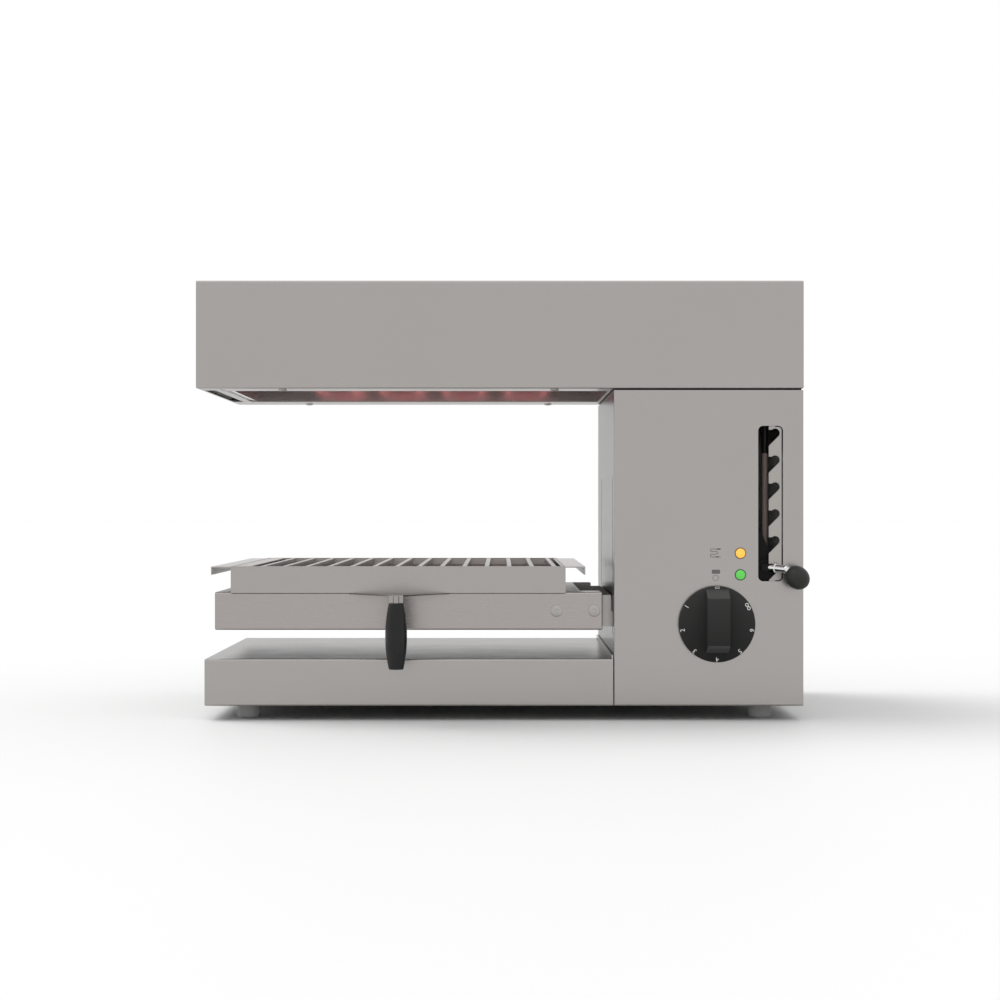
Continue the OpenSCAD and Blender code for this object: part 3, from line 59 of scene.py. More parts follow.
Mesh = bmesh.types.BMesh
Socket = bpy.types.NodeSocket

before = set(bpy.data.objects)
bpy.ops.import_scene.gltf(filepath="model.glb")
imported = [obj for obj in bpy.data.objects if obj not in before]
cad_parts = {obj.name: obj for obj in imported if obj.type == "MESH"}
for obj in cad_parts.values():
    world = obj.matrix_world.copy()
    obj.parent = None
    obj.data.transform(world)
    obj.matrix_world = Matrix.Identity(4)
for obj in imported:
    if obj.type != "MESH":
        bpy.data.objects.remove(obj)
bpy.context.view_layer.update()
FRONT_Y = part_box("column_front_panel")[0].y


def at(x: float, depth: float, z: float) -> Vector:
    """Gives the point at a place across, a depth and a height in millimetres, in metres."""
    return Vector((x * MM, FRONT_Y + depth * MM, z * MM))


def hang(name: str, data: bpy.types.ID) -> bpy.types.Object:
    """Puts data into the scene as an object.

    Args:
        name: the object's name.
        data: its mesh, curve, light or camera.

    Returns:
        The object.
    """
    thing = bpy.data.objects.new(name, data)
    bpy.context.scene.collection.objects.link(thing)
    return thing


def only(geom: Sequence, kind: type) -> list:
    """Picks the vertices or the edges out of what an operator gives back."""
    return [item for item in geom if isinstance(item, kind)]


class Facing(Enum):
    """Where the own +Z of a frame points, as the frame's turn about X in degrees."""

    UP = 0.0
    FRONT = 90.0
    REAR = -90.0
    DOWN = 180.0


def placed(facing: Facing, x: float, depth: float, z: float) -> Matrix:
    """Gives the frame at a place whose own +Z faces up, the viewer, the rear or the floor."""
    return Matrix.Translation(at(x, depth, z)) @ Matrix.Rotation(math.radians(facing.value), 4, "X")


@dataclass(frozen=True)
class Extent:
    """The box of a CAD node at rest, in millimetres and depths."""

    left: float
    right: float
    front: float
    back: float
    bottom: float
    top: float

    @classmethod
    def of(cls, node: str) -> "Extent":
        """Reads a node's box from the frame.

        Args:
            node: the node's name.

        Returns:
            Its extent.
        """
        low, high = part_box(node)
        return cls(low.x / MM, high.x / MM, (low.y - FRONT_Y) / MM, (high.y - FRONT_Y) / MM,
                   low.z / MM, high.z / MM)

    @property
    def x(self) -> float:
        """Gives the middle across."""
        return (self.left + self.right) / 2

    @property
    def depth(self) -> float:
        """Gives the middle depth."""
        return (self.front + self.back) / 2

    @property
    def z(self) -> float:
        """Gives the middle height."""
        return (self.bottom + self.top) / 2

    def corners(self, inset: float) -> list[Pair]:
        """Gives the four places across and in depth that lie inward of the corners."""
        return [(x, depth) for x in (self.left + inset, self.right - inset)
                for depth in (self.front + inset, self.back - inset)]


class Pattern(Enum):
    """Smooth noise: its stretch along X, Y and Z, its scale per metre and its detail."""

    LINES_ACROSS = (45, 4200, 4200, 1, 3)
    LINES_UPRIGHT = (4200, 4200, 45, 1, 3)
    LINES_DEEP = (4200, 45, 4200, 1, 3)
    RUB_LINES = (700, 700, 20, 1, 2)
    FIBRES_ACROSS = (40, 900, 900, 1, 4)
    FIBRES_DEEP = (900, 40, 900, 1, 4)
    CLOUDS = (1, 1, 1, 9, 2)
    SMEARS = (1, 1, 3, 26, 3)
    STAINS = (1, 1, 1, 60, 3)
    TEMPER = (1, 1, 1, 14, 4)
    ROLLING = (1, 6, 6, 160, 2)
    OXIDE = (1, 0.6, 1, 60, 3)
    FINE_SPARK = (1, 1, 1, 1800, 2)
    SPARK = (1, 1, 1, 1300, 2)
    GRIT = (1, 1, 1, 900, 2)
    SLOW = (1, 1, 1, 40, 2)
    PEEL = (1, 1, 1, 700, 2)
    DUST = (1, 1, 1, 55, 4)
    TURNING = (1, 1, 2, 420, 2)
    RUBS = (1, 1, 1, 90, 3)
    RIBS = (1, 1, 1, 500, 1)
    THIN_INK = (1, 1, 1, 1500, 2)
    FLOOR = (1, 1, 1, 3, 2)


class Value:
    """A number that may change over a surface, whose Python operators add Math nodes."""

    def __init__(self, tree: "Tree", socket: Socket) -> None:
        """Keeps the socket and the tree that it belongs to."""
        self.tree = tree
        self.socket = socket

    def _math(self, operation: str, first: Number, second: Number) -> "Value":
        """Adds one Math node, by Blender's name of the operation."""
        node = self.tree.node("ShaderNodeMath", {"operation": operation}, {0: first, 1: second})
        return Value(self.tree, node.outputs[0])

    def __add__(self, other: Number) -> "Value":
        """Adds."""
        return self._math("ADD", self, other)

    __radd__ = __add__

    def __sub__(self, other: Number) -> "Value":
        """Subtracts a number from this one."""
        return self._math("SUBTRACT", self, other)

    def __rsub__(self, other: Number) -> "Value":
        """Subtracts this one from a number."""
        return self._math("SUBTRACT", other, self)

    def __mul__(self, other: Number) -> "Value":
        """Multiplies."""
        return self._math("MULTIPLY", self, other)

    __rmul__ = __mul__

    def above(self, limit: Number) -> "Value":
        """Gives 1 where the value is above a limit and 0 elsewhere."""
        return self._math("GREATER_THAN", self, limit)


class Tree:
    """The node tree of one material."""

    def __init__(self, name: str) -> None:
        """Starts an empty tree in a new material.

        Args:
            name: the material's name.
        """
        self.material = bpy.data.materials.new(name)
        self.material.use_nodes = True
        self.nodes = self.material.node_tree.nodes
        self.links = self.material.node_tree.links
        self.nodes.clear()

    def node(self, kind: str, settings: dict | None = None,
             inputs: dict | None = None) -> bpy.types.Node:
        """Adds a node of any type.

        Args:
            kind: Blender's type name.
            settings: the node's own settings, set before its sockets.
            inputs: a number, a colour, a Value or a socket for each input, by name or place.

        Returns:
            The node.
        """
        node = self.nodes.new(kind)
        for key, value in (settings or {}).items():
            setattr(node, key, value)
        for key, value in (inputs or {}).items():
            socket = node.inputs[key]
            if isinstance(value, Value):
                self.links.new(value.socket, socket)
            elif isinstance(value, Socket):
                self.links.new(value, socket)
            else:
                socket.default_value = (*value, 1.0) if socket.type == "RGBA" else value
        return node

    @cache
    def noise(self, pattern: Pattern) -> Value:
        """Gives smooth noise between 0 and 1.

        Args:
            pattern: its stretch, scale and detail.

        Returns:
            The noise, the same nodes each time that a pattern is asked for.
        """
        *stretch, scale, detail = pattern.value
        where = self.node("ShaderNodeTexCoord").outputs["Object"]
        mapping = self.node("ShaderNodeMapping", None, {"Vector": where, "Scale": stretch})
        node = self.node("ShaderNodeTexNoise", None,
                         {"Vector": mapping.outputs["Vector"], "Scale": scale, "Detail": detail})
        return Value(self, node.outputs["Fac"])

    @cache
    def axis(self, name: str) -> Value:
        """Gives the place along X, Y or Z in metres.

        Args:
            name: the axis.

        Returns:
            The place.
        """
        where = self.node("ShaderNodeTexCoord").outputs["Object"]
        split = self.node("ShaderNodeSeparateXYZ", None, {"Vector": where})
        return Value(self, split.outputs[name])

    def inside(self, low: Point, high: Point) -> Value:
        """Gives 1 within a box of Object coordinates and 0 elsewhere.

        Args:
            low: the box's lowest corner in metres.
            high: its highest corner.

        Returns:
            The mask.
        """
        sides = [self.axis(name).above(floor) * (1 - self.axis(name).above(roof))
                 for name, floor, roof in zip("XYZ", low, high)]
        return sides[0] * sides[1] * sides[2]

    def mix(self, share: Value, low: Colour | Socket, high: Colour | Socket) -> Socket:
        """Mixes two colours by a share, which the node holds between 0 and 1."""
        node = self.node("ShaderNodeMix", {"data_type": "RGBA"}, {0: share, 6: low, 7: high})
        return node.outputs[2]

    def tinge(self, pattern: Pattern, tone: Colour, dark: float) -> Socket:
        """Gives a tone that a pattern darkens down to a factor."""
        return self.mix(self.noise(pattern), shade(tone, dark), tone)


def shade(tone: Colour, factor: float, lift: float = 0.0) -> Colour:
    """Gives a tone made darker or lighter, up to white."""
    return tuple(min(c * factor + lift, 1.0) for c in tone)


@dataclass(frozen=True)
class Zone:
    """A box of Object coordinates in metres, in which a finish has another tone and no metal."""

    low: Point
    high: Point
    tone: Colour
    dark: float
    pattern: Pattern
    roughness: float = 0.0


@dataclass(frozen=True)
class Glow:
    """The light that a finish gives off, which a pattern dims down to a factor."""

    tone: Colour
    dark: float
    pattern: Pattern
    strength: float


@dataclass(frozen=True)
class PaintedLightRise:
    """Painted light: a tone that grows lighter from one height in metres to another, standing in
    for light from above, with a share of the own weave left.
    """

    low: float
    high: float
    own: float


@dataclass(frozen=True)
class Finish:
    """A surface whose tone, gloss and relief follow weaves of smooth noise.

    A weave lists patterns and their weights, and None stands for the finish's own grain. The tone
    runs from `dark` to `light` times itself, or to another tone, and `roughness` is its mean.
    """

    name: str
    tone: Colour
    roughness: float
    grain: Pattern = Pattern.CLOUDS
    share: Weave = ((None, 1.0),)
    middle: float = 0.5
    dark: float = 1.0
    light: float = 1.0
    lift: float = 0.0
    other: Colour | None = None
    gloss: Weave = ()
    relief: Weave = ()
    depth: float = 0.0
    strength: float = 0.0
    metal: float = 0.0
    shine: float = 0.5
    edge_tone: float = 1.0
    coat: float = 0.0
    zone: Zone | None = None
    glow: Glow | None = None
    painted_light_rise: PaintedLightRise | None = None

    def weave(self, tree: Tree, parts: Weave, middle: float) -> Number:
        """Adds up noises about a middle, which is the answer where the weave is empty."""
        swings = ((tree.noise(kind or self.grain) - 0.5) * weight for kind, weight in parts)
        return sum(swings, middle)

    def face(self, tree: Tree) -> Socket:
        """Mixes the tone.

        Args:
            tree: the material's tree.

        Returns:
            The colour.
        """
        share = self.weave(tree, self.share, self.middle)
        # The painted light rise makes the tone lighter towards the top: painted light from above.
        if self.painted_light_rise:
            up = (tree.axis("Z") - self.painted_light_rise.low) * (1 / (self.painted_light_rise.high - self.painted_light_rise.low))
            share = share * self.painted_light_rise.own + up * (1 - self.painted_light_rise.own)
        other = self.other or shade(self.tone, self.light, self.lift)
        return tree.mix(share, shade(self.tone, self.dark), other)

    @cache
    def material(self) -> bpy.types.Material:
        """Makes the material the first time that it is asked for.

        Returns:
            The material.
        """
        tree = Tree(self.name)
        inputs = {"Base Color": self.face(tree), "Metallic": self.metal,
                  "Roughness": self.weave(tree, self.gloss, self.roughness),
                  "Specular IOR Level": self.shine, "Specular Tint": (self.edge_tone,) * 3,
                  "Coat Weight": self.coat}
        if self.relief:
            height = {"Height": self.weave(tree, self.relief, 0.0), "Distance": self.depth,
                      "Strength": self.strength}
            inputs["Normal"] = tree.node("ShaderNodeBump", None, height).outputs["Normal"]
        if self.glow:
            inputs["Emission Color"] = tree.tinge(self.glow.pattern, self.glow.tone, self.glow.dark)
            inputs["Emission Strength"] = self.glow.strength
        if self.zone:
            zone = tree.inside(self.zone.low, self.zone.high)
            tone = tree.tinge(self.zone.pattern, self.zone.tone, self.zone.dark)
            inputs["Base Color"] = tree.mix(zone, inputs["Base Color"], tone)
            if self.metal:
                inputs["Metallic"] = (1 - zone) * self.metal
            inputs["Roughness"] = inputs["Roughness"] + zone * self.zone.roughness
        shader = tree.node("ShaderNodeBsdfPrincipled", None, inputs)
        tree.node("ShaderNodeOutputMaterial", None, {"Surface": shader.outputs["BSDF"]})
        return tree.material


@dataclass(frozen=True)
class BrushedSteel(Finish):
    """Fine brushed or satin sheet: brush lines, a faint cloudiness and smears from handling."""

    grain: Pattern = Pattern.LINES_ACROSS
    share: Weave = ((None, 0.6), (Pattern.CLOUDS, 0.4))
    dark: float = 0.97
    light: float = 1.03
    gloss: Weave = ((None, 0.10), (Pattern.SMEARS, 0.05))
    relief: Weave = ((None, 1.0),)
    depth: float = 0.003 * MM
    strength: float = 0.25
    metal: float = 1.0
    edge_tone: float = 0.72


@dataclass(frozen=True)
class CasedSteel(BrushedSteel):
    """Brushed casing sheet whose inner faces, within the zone, kept the mill's dull finish."""

    gloss: Weave = ((None, 0.10),)
    shine: float = 0.2
    dull_tone: Colour = (0.70, 0.68, 0.66)
    dull_dark: float = 0.9
    dull_roughness: float = 0.4

    def lined(self, low: Vector, high: Vector) -> "CasedSteel":
        """Gives the same finish with its dull faces between two corners in metres."""
        return replace(self, zone=Zone(tuple(low), tuple(high), self.dull_tone, self.dull_dark,
                                       Pattern.CLOUDS, self.dull_roughness))


@dataclass(frozen=True)
class MouldedPlastic(Finish):
    """Moulded plastic: the fine spark texture of its tool and slow changes of gloss."""

    grain: Pattern = Pattern.FINE_SPARK
    share: Weave = ((None, 0.5), (Pattern.SLOW, 0.5))
    light: float = 1.25
    lift: float = 0.002
    gloss: Weave = ((Pattern.SLOW, 0.12),)
    relief: Weave = ((None, 1.0),)
    depth: float = 0.02 * MM
    strength: float = 0.35
    shine: float = 0.3


@dataclass(frozen=True)
class PolishedMetal(Finish):
    """Polished or plated metal of small fittings: faint turning marks and rub marks."""

    grain: Pattern = Pattern.TURNING
    share: Weave = ((Pattern.RUBS, 1.0),)
    dark: float = 0.88
    gloss: Weave = ((None, 0.06),)
    relief: Weave = ((None, 1.0),)
    depth: float = 0.004 * MM
    strength: float = 0.2
    metal: float = 1.0


@dataclass(frozen=True)
class Lens(Finish):
    """Tinted signal lens with a lamp behind it, whose ribs make the glow a little uneven."""

    grain: Pattern = Pattern.RIBS
    light: float = 0.8
    relief: Weave = ((None, 1.0),)
    depth: float = 0.02 * MM
    strength: float = 0.3
    coat: float = 0.6


@dataclass(frozen=True)
class Ink(Finish):
    """Print on metal or plastic that is slightly thin in places."""

    grain: Pattern = Pattern.THIN_INK
    dark: float = 0.82
    gloss: Weave = ((None, 0.1),)


CASING = BrushedSteel("casing steel", (0.380, 0.361, 0.348), 0.24)
CASING_UPRIGHT = BrushedSteel("casing steel upright", (0.375, 0.363, 0.355), 0.24,
                              Pattern.LINES_UPRIGHT, edge_tone=0.55)
HOOD_STEEL = CasedSteel("hood steel", CASING.tone, 0.24)
PAN_STEEL = CasedSteel("pan steel", (0.370, 0.349, 0.335), 0.22, edge_tone=0.85,
                       dull_tone=(0.56, 0.53, 0.515))
GRID_STEEL = BrushedSteel("grid steel", (0.50, 0.47, 0.455), 0.30, Pattern.LINES_DEEP,
                          edge_tone=0.80)
CARRIER_STEEL = BrushedSteel("carrier steel", (0.370, 0.345, 0.331), 0.26)
HANDLE_STEEL = BrushedSteel("handle steel", (0.325, 0.302, 0.29), 0.13, edge_tone=0.50)
LATCH_STEEL = BrushedSteel("latch plate steel", (0.38, 0.362, 0.345), 0.34, Pattern.LINES_UPRIGHT)
INNER_STEEL = BrushedSteel("inner steel", (0.33, 0.33, 0.33), 0.42, dark=0.92, light=1.08,
                           depth=0.006 * MM)
ARM_STEEL = Finish("arm steel", (0.380, 0.358, 0.344), 0.3, Pattern.LINES_ACROSS, dark=0.96,
                   gloss=((Pattern.STAINS, 0.06),), metal=1.0, shine=0.2, edge_tone=0.42)
# Near-black tone for the top faces of the carriage arms: painted shade from the pan and column
# above them.
ARM_TOP_PAINTED_SHADE = (0.070, 0.073, 0.064)
LATCH_ROD_STEEL = Finish("latch rod steel", (0.300, 0.240, 0.220), 0.42, Pattern.RUB_LINES, dark=0.75,
                      gloss=((None, 0.1),), shine=0.3)
# Near-black tone for the latch rod's upper part: painted shade where it lies in shadow inside the
# column.
ROD_PAINTED_SHADE = (0.012, 0.010, 0.009)
REFLECTOR = Finish("reflector sheet", (0.58, 0.575, 0.565), 0.13, Pattern.ROLLING,
                   share=((Pattern.TEMPER, 1.6),), other=(0.54, 0.51, 0.495), gloss=((None, 0.06),),
                   relief=((None, 1.0),), depth=0.01 * MM, strength=0.2, metal=0.885)
SHEATH = Finish("element sheath", (0.20, 0.060, 0.050), 0.62, Pattern.GRIT, light=1.8,
                relief=((None, 1.0),), depth=0.05 * MM, strength=0.4, metal=0.4,
                glow=Glow((1.0, 0.22, 0.24), 0.6, Pattern.OXIDE, 0.72))
ZINC = PolishedMetal("zinc plated steel", (0.52, 0.52, 0.51), 0.31)
SCREW_STEEL = PolishedMetal("screw steel", (0.43, 0.41, 0.39), 0.33)
CHROME = PolishedMetal("chrome", (0.78, 0.78, 0.79), 0.09)
SPRING_STEEL = PolishedMetal("spring steel", (0.22, 0.22, 0.23), 0.33)
BRONZE = PolishedMetal("bush bronze", (0.48, 0.29, 0.12), 0.33)
BLACK_PAINT = Finish("black paint", (0.006, 0.0055, 0.0055), 0.5, Pattern.PEEL,
                     share=((Pattern.DUST, 1.4),), middle=0.2, light=1.8, lift=0.001,
                     gloss=((Pattern.DUST, 0.1),), relief=((None, 1.0),), depth=0.03 * MM,
                     strength=0.35, shine=0.12)
# The dial plastic grows paler towards its top through its painted light rise and high light factor:
# painted light from above.
DIAL_PLASTIC = MouldedPlastic("dial plastic", (0.0190, 0.0190, 0.0187), 0.42, light=1.25 * 1.75,
                              lift=0.002 * 1.75, shine=0.02, painted_light_rise=PaintedLightRise(0.060, 0.135, 0.15))
# A lighter tone for the grip bar's slopes: a painted highlight where light falls on them.
LIT_SLOPE_PLASTIC = MouldedPlastic("dial plastic painted highlight", (0.060, 0.060, 0.059), 0.34, shine=0.05)
GLAND_PLASTIC = MouldedPlastic("gland plastic", (0.0215, 0.0215, 0.0212), 0.4)
AMBER_RIM = MouldedPlastic("amber rim", (0.165, 0.085, 0.022), 0.3)
GREEN_RIM = MouldedPlastic("green rim", (0.018, 0.080, 0.024), 0.3)
GRIP_PLASTIC = MouldedPlastic("grip plastic", (0.004, 0.004, 0.004), 0.28)
BALL_PLASTIC = MouldedPlastic("ball plastic", (0.011, 0.0118, 0.0100), 0.5, Pattern.SPARK,
                              depth=0.05 * MM, shine=0.35)
FOOT_PLASTIC = MouldedPlastic("foot plastic", (0.31, 0.31, 0.307), 0.4)
PALE_PLASTIC = MouldedPlastic("pale plastic", (0.70, 0.66, 0.56), 0.42, shine=0.5)
BUFFER_RUBBER = MouldedPlastic("buffer rubber", (0.018, 0.018, 0.018), 0.75, Pattern.GRIT,
                               depth=0.04 * MM)
AMBER = Lens("amber lens", (0.70, 0.30, 0.03), 0.16,
             glow=Glow((1.0, 0.50, 0.06), 0.86, Pattern.RIBS, 0.8))
GREEN = Lens("green lens", (0.04, 0.32, 0.04), 0.16,
             glow=Glow((0.09, 0.49, 0.05), 0.86, Pattern.RIBS, 0.75))
PALE_INK = Ink("pale figures", (0.78, 0.78, 0.78), 0.60)
GREY_INK = Ink("grey symbols", (0.13, 0.125, 0.12), 0.60)
BLANKET = Finish("insulation blanket", (0.62, 0.56, 0.38), 0.95, dark=0.7,
                 share=((Pattern.FIBRES_ACROSS, 0.5), (Pattern.FIBRES_DEEP, 0.5)),
                 relief=((Pattern.FIBRES_ACROSS, 0.5), (Pattern.FIBRES_DEEP, 0.5)),
                 depth=0.6 * MM, strength=0.8)
STUDIO_FLOOR = Finish("studio floor", (0.70, 0.70, 0.70), 0.6, Pattern.FLOOR, dark=0.99, shine=0.2)


def dress(finish: Finish, *names: str) -> None:
    """Gives CAD nodes a finish.

    Args:
        finish: one of the finishes above.
        names: the nodes' names.
    """
    for name in names:
        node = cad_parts[name]
        if not node.material_slots:
            node.data.materials.append(finish.material())
        for slot in node.material_slots:
            slot.material = finish.material()
        LOG.info("dressed %s in %s", name, finish.name)


class Shape:
    """Makes the basic forms as bmeshes in millimetres, about their own +Z."""

    @staticmethod
    def turned(profile: Sequence[Pair], steps: int = 64) -> Mesh:
        """Turns a profile about +Z.

        Args:
            profile: radius and height of each point, from the lower end round to the upper end.
            steps: the number of facets round.

        Returns:
            A closed form where the profile starts and ends on the axis or on itself.
        """
        mesh = bmesh.new()
        verts = [mesh.verts.new((r, 0.0, z)) for r, z in profile]
        edges = [mesh.edges.new(pair) for pair in zip(verts, verts[1:])]
        bmesh.ops.spin(mesh, geom=verts + edges, cent=(0, 0, 0), axis=(0, 0, 1), dvec=(0, 0, 0),
                       angle=2 * math.pi, steps=steps, use_merge=True)
        bmesh.ops.remove_doubles(mesh, verts=mesh.verts, dist=MERGE)
        bmesh.ops.recalc_face_normals(mesh, faces=mesh.faces)
        return mesh

    @staticmethod
    def rod(radius: float, low: float, high: float, steps: int) -> Mesh:
        """Gives a plain round rod from one height to another."""
        return Shape.turned([(0.0, low), (radius, low), (radius, high), (0.0, high)], steps)

    @staticmethod
    def arc(centre: Pair, radius: float, start: float, end: float, steps: int = 5) -> list[Pair]:
        """Gives the points of an arc in a profile, from one angle in degrees to another."""
        turns = [math.radians(start + (end - start) * i / steps) for i in range(steps + 1)]
        return [(centre[0] + radius * math.cos(t), centre[1] + radius * math.sin(t)) for t in turns]

    @staticmethod
    def thicken(mesh: Mesh, height: float) -> Mesh:
        """Gives flat faces a thickness.

        Args:
            mesh: the faces, which are changed.
            height: the thickness along +Z.

        Returns:
            The same mesh, closed.
        """
        grown = bmesh.ops.extrude_face_region(mesh, geom=mesh.faces[:])["geom"]
        bmesh.ops.translate(mesh, verts=only(grown, bmesh.types.BMVert), vec=(0, 0, height))
        bmesh.ops.recalc_face_normals(mesh, faces=mesh.faces)
        return mesh

    @staticmethod
    def prism(outline: Sequence[Pair], low: float, high: float) -> Mesh:
        """Gives an outline a thickness.

        Args:
            outline: the corners in the own X and Y.
            low: the height where the form starts.
            high: the height where it ends.

        Returns:
            The closed form.
        """
        mesh = bmesh.new()
        mesh.faces.new([mesh.verts.new((x, y, low)) for x, y in outline])
        return Shape.thicken(mesh, high - low)

    @staticmethod
    def ribbon(path: Sequence[Pair], width: float, thickness: float) -> Mesh:
        """Gives a thin stripe along a path in the own XY plane.

        Args:
            path: the points of the stripe's middle.
            width: its width.
            thickness: its thickness, above the plane.

        Returns:
            The closed stripe.
        """
        points = [Vector(p) for p in path]
        left, right = [], []
        for i, point in enumerate(points):
            along = points[min(i + 1, len(points) - 1)] - points[max(i - 1, 0)]
            across = Vector((-along.y, along.x)).normalized() * width / 2
            left.append(tuple(point + across))
            right.append(tuple(point - across))
        return Shape.prism(left + right[::-1], 0.0, thickness)

    @staticmethod
    def block(width: float, height: float, depth: float) -> Mesh:
        """Gives a block that stands on the own XY plane.

        Args:
            width: its size along X.
            height: its size along Y.
            depth: its size along Z.

        Returns:
            The block.
        """
        mesh = bmesh.new()
        bmesh.ops.create_cube(mesh, size=1.0)
        bmesh.ops.scale(mesh, vec=(width, height, depth), verts=mesh.verts)
        bmesh.ops.translate(mesh, vec=(0, 0, depth / 2), verts=mesh.verts)
        return mesh

    @staticmethod
    def soften(mesh: Mesh, radius: float, least_angle: float = 30.0, segments: int = 3) -> None:
        """Rounds the edges that are sharper than an angle in degrees.

        Args:
            mesh: the form, which is changed.
            radius: the edges' radius.
            least_angle: the angle.
            segments: the facets of an edge.
        """
        sharp = [e for e in mesh.edges if e.calc_face_angle(0.0) > math.radians(least_angle)]
        bmesh.ops.bevel(mesh, geom=sharp, offset=radius, offset_type="OFFSET", segments=segments,
                        profile=0.5, affect="EDGES", material=-1, clamp_overlap=True)

    @staticmethod
    def cut(mesh: Mesh, point: Vector, outward: Vector) -> Mesh:
        """Cuts off what lies beyond a plane and closes the cut.

        Args:
            mesh: the closed form, which is changed.
            point: a point of the plane.
            outward: the plane's normal, on the side that is cut off.

        Returns:
            The same form, closed again.
        """
        cut = bmesh.ops.bisect_plane(mesh, geom=mesh.verts[:] + mesh.edges[:] + mesh.faces[:],
                                     plane_co=point, plane_no=outward, clear_outer=True)
        bmesh.ops.holes_fill(mesh, edges=only(cut["geom_cut"], bmesh.types.BMEdge), sides=0)
        bmesh.ops.recalc_face_normals(mesh, faces=mesh.faces)
        return mesh

    @staticmethod
    def hexagon(corner_radius: float, low: float, high: float, edge: float = 0.4) -> Mesh:
        """Gives a hexagonal prism with rounded edges.

        Args:
            corner_radius: from the axis to a corner.
            low: the height where it starts.
            high: the height where it ends.
            edge: the edges' radius.

        Returns:
            The prism.
        """
        mesh = Shape.prism(Shape.arc((0.0, 0.0), corner_radius, 0, 300), low, high)
        Shape.soften(mesh, edge, segments=2)
        return mesh

    @staticmethod
    def wire_end(wire: float, x: float, z: float, segments: int, closed: bool) -> Mesh:
        """Starts a tube with a circle that faces along the own Y.

        Args:
            wire: the tube's radius.
            x: how far across the circle lies.
            z: how high it lies.
            segments: the number of its edges.
            closed: whether it has a face.

        Returns:
            The circle.
        """
        mesh = bmesh.new()
        bmesh.ops.create_circle(mesh, cap_ends=closed, radius=wire, segments=segments)
        mesh.transform(Matrix.Translation((x, 0, z)) @ Matrix.Rotation(math.pi / 2, 4, "X"))
        return mesh

    @staticmethod
    def coil(radius: float, wire: float, turns: int, length: float, steps: int = 20) -> Mesh:
        """Gives a helical wire with flat closed ends.

        Args:
            radius: from the axis to the wire's middle.
            wire: the wire's radius.
            turns: the number of turns.
            length: the height of all turns together.
            steps: the number of facets in one turn.

        Returns:
            The coil, standing on the own XY plane.
        """
        mesh = Shape.wire_end(wire, radius, wire, 8, True)
        step = (length - 2 * wire) / (turns * steps)
        bmesh.ops.spin(mesh, geom=mesh.verts[:] + mesh.edges[:] + mesh.faces[:], cent=(0, 0, 0),
                       axis=(0, 0, 1), dvec=(0, 0, step), angle=2 * math.pi * turns,
                       steps=turns * steps)
        bmesh.ops.remove_doubles(mesh, verts=mesh.verts, dist=MERGE)
        bmesh.ops.recalc_face_normals(mesh, faces=mesh.faces)
        return mesh


class Piece:
    """One piece of the looks: shapes gathered in a mesh that rides on a body."""

    def __init__(self, name: str, body: str, slot: str, *finishes: Finish) -> None:
        """Starts an empty piece.

        Args:
            name: the piece's name.
            body: the CAD body that it moves with.
            slot: a material slot's name, kept on the piece but not used.
            finishes: its finishes, in the order of their indexes.
        """
        self.name = name
        self.body = body
        self.slot = slot
        self.finishes = finishes
        self.mesh = bmesh.new()

    def add(self, shape: Mesh, place: Matrix, index: int | None = 0) -> "Piece":
        """Takes a shape in millimetres over into the piece.

        Args:
            shape: the shape, which is used up.
            place: the frame that it goes to, in metres.
            index: which of the piece's finishes it gets, or None where its faces say so.

        Returns:
            The piece, so that calls can follow each other.
        """
        if index is not None:
            for face in shape.faces:
                face.material_index = index
        shape.transform(place @ Matrix.Diagonal((MM, MM, MM, 1.0)))
        part = bpy.data.meshes.new("part")
        shape.to_mesh(part)
        shape.free()
        self.mesh.from_mesh(part)
        bpy.data.meshes.remove(part)
        return self

    def finish(self, *replaced: str, smooth_below: float = 38.0) -> bpy.types.Object:
        """Turns the piece into an object.

        Args:
            replaced: the CAD nodes that it stands for.
            smooth_below: edges with a smaller angle in degrees are shaded smooth.

        Returns:
            The object.
        """
        for face in self.mesh.faces:
            face.smooth = True
        for edge in self.mesh.edges:
            edge.smooth = edge.calc_face_angle(0.0) < math.radians(smooth_below)
        data = bpy.data.meshes.new(self.name)
        self.mesh.to_mesh(data)
        self.mesh.free()
        for kind in self.finishes:
            data.materials.append(kind.material())
        piece = hang(self.name, data)
        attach(piece, self.body)
        if replaced:
            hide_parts(*replaced)
        LOG.info("made %s with %d faces", self.name, len(data.polygons))
        return piece


@dataclass
class Screw:
    """A button-headed screw with a round socket, and a nut where it has one."""

    head_radius: float
    head_height: float
    shank_radius: float
    shank_length: float
    nut_radius: float = 0.0
    nut_height: float = 0.0
    socket_share: float = 0.42
    side_share: float = 0.3
    point: float = 0.5
    seat: float = 0.1

    def head(self) -> Mesh:
        """Turns the domed head with its socket.

        Returns:
            The head, standing on the own XY plane.
        """
        radius, height = self.head_radius, self.head_height
        side, rim = height * self.side_share, radius * self.socket_share
        turns = [math.radians(t) for t in range(0, 66, 11)]
        dome = [(radius * math.cos(t), side + (height - side) * math.sin(t)) for t in turns]
        return Shape.turned([(0.0, 0.0), (radius, 0.0), *dome, (rim, height),
                             (rim * 0.92, height * 0.9), (rim * 0.86, height * 0.35),
                             (0.0, side)], 36)

    def put(self, piece: Piece, place: Matrix) -> None:
        """Adds the screw to a piece.

        Args:
            piece: the piece that gathers the screws.
            place: the frame whose +Z points out of the head.
        """
        end = -self.shank_length
        shank = [(0.0, end), (self.shank_radius * 0.8, end), (self.shank_radius, end + self.point),
                 (self.shank_radius, self.seat), (0.0, self.seat)]
        piece.add(self.head(), place).add(Shape.turned(shank, 24), place)
        if self.nut_radius > 0:
            piece.add(Shape.hexagon(self.nut_radius, end, end + self.nut_height), place)


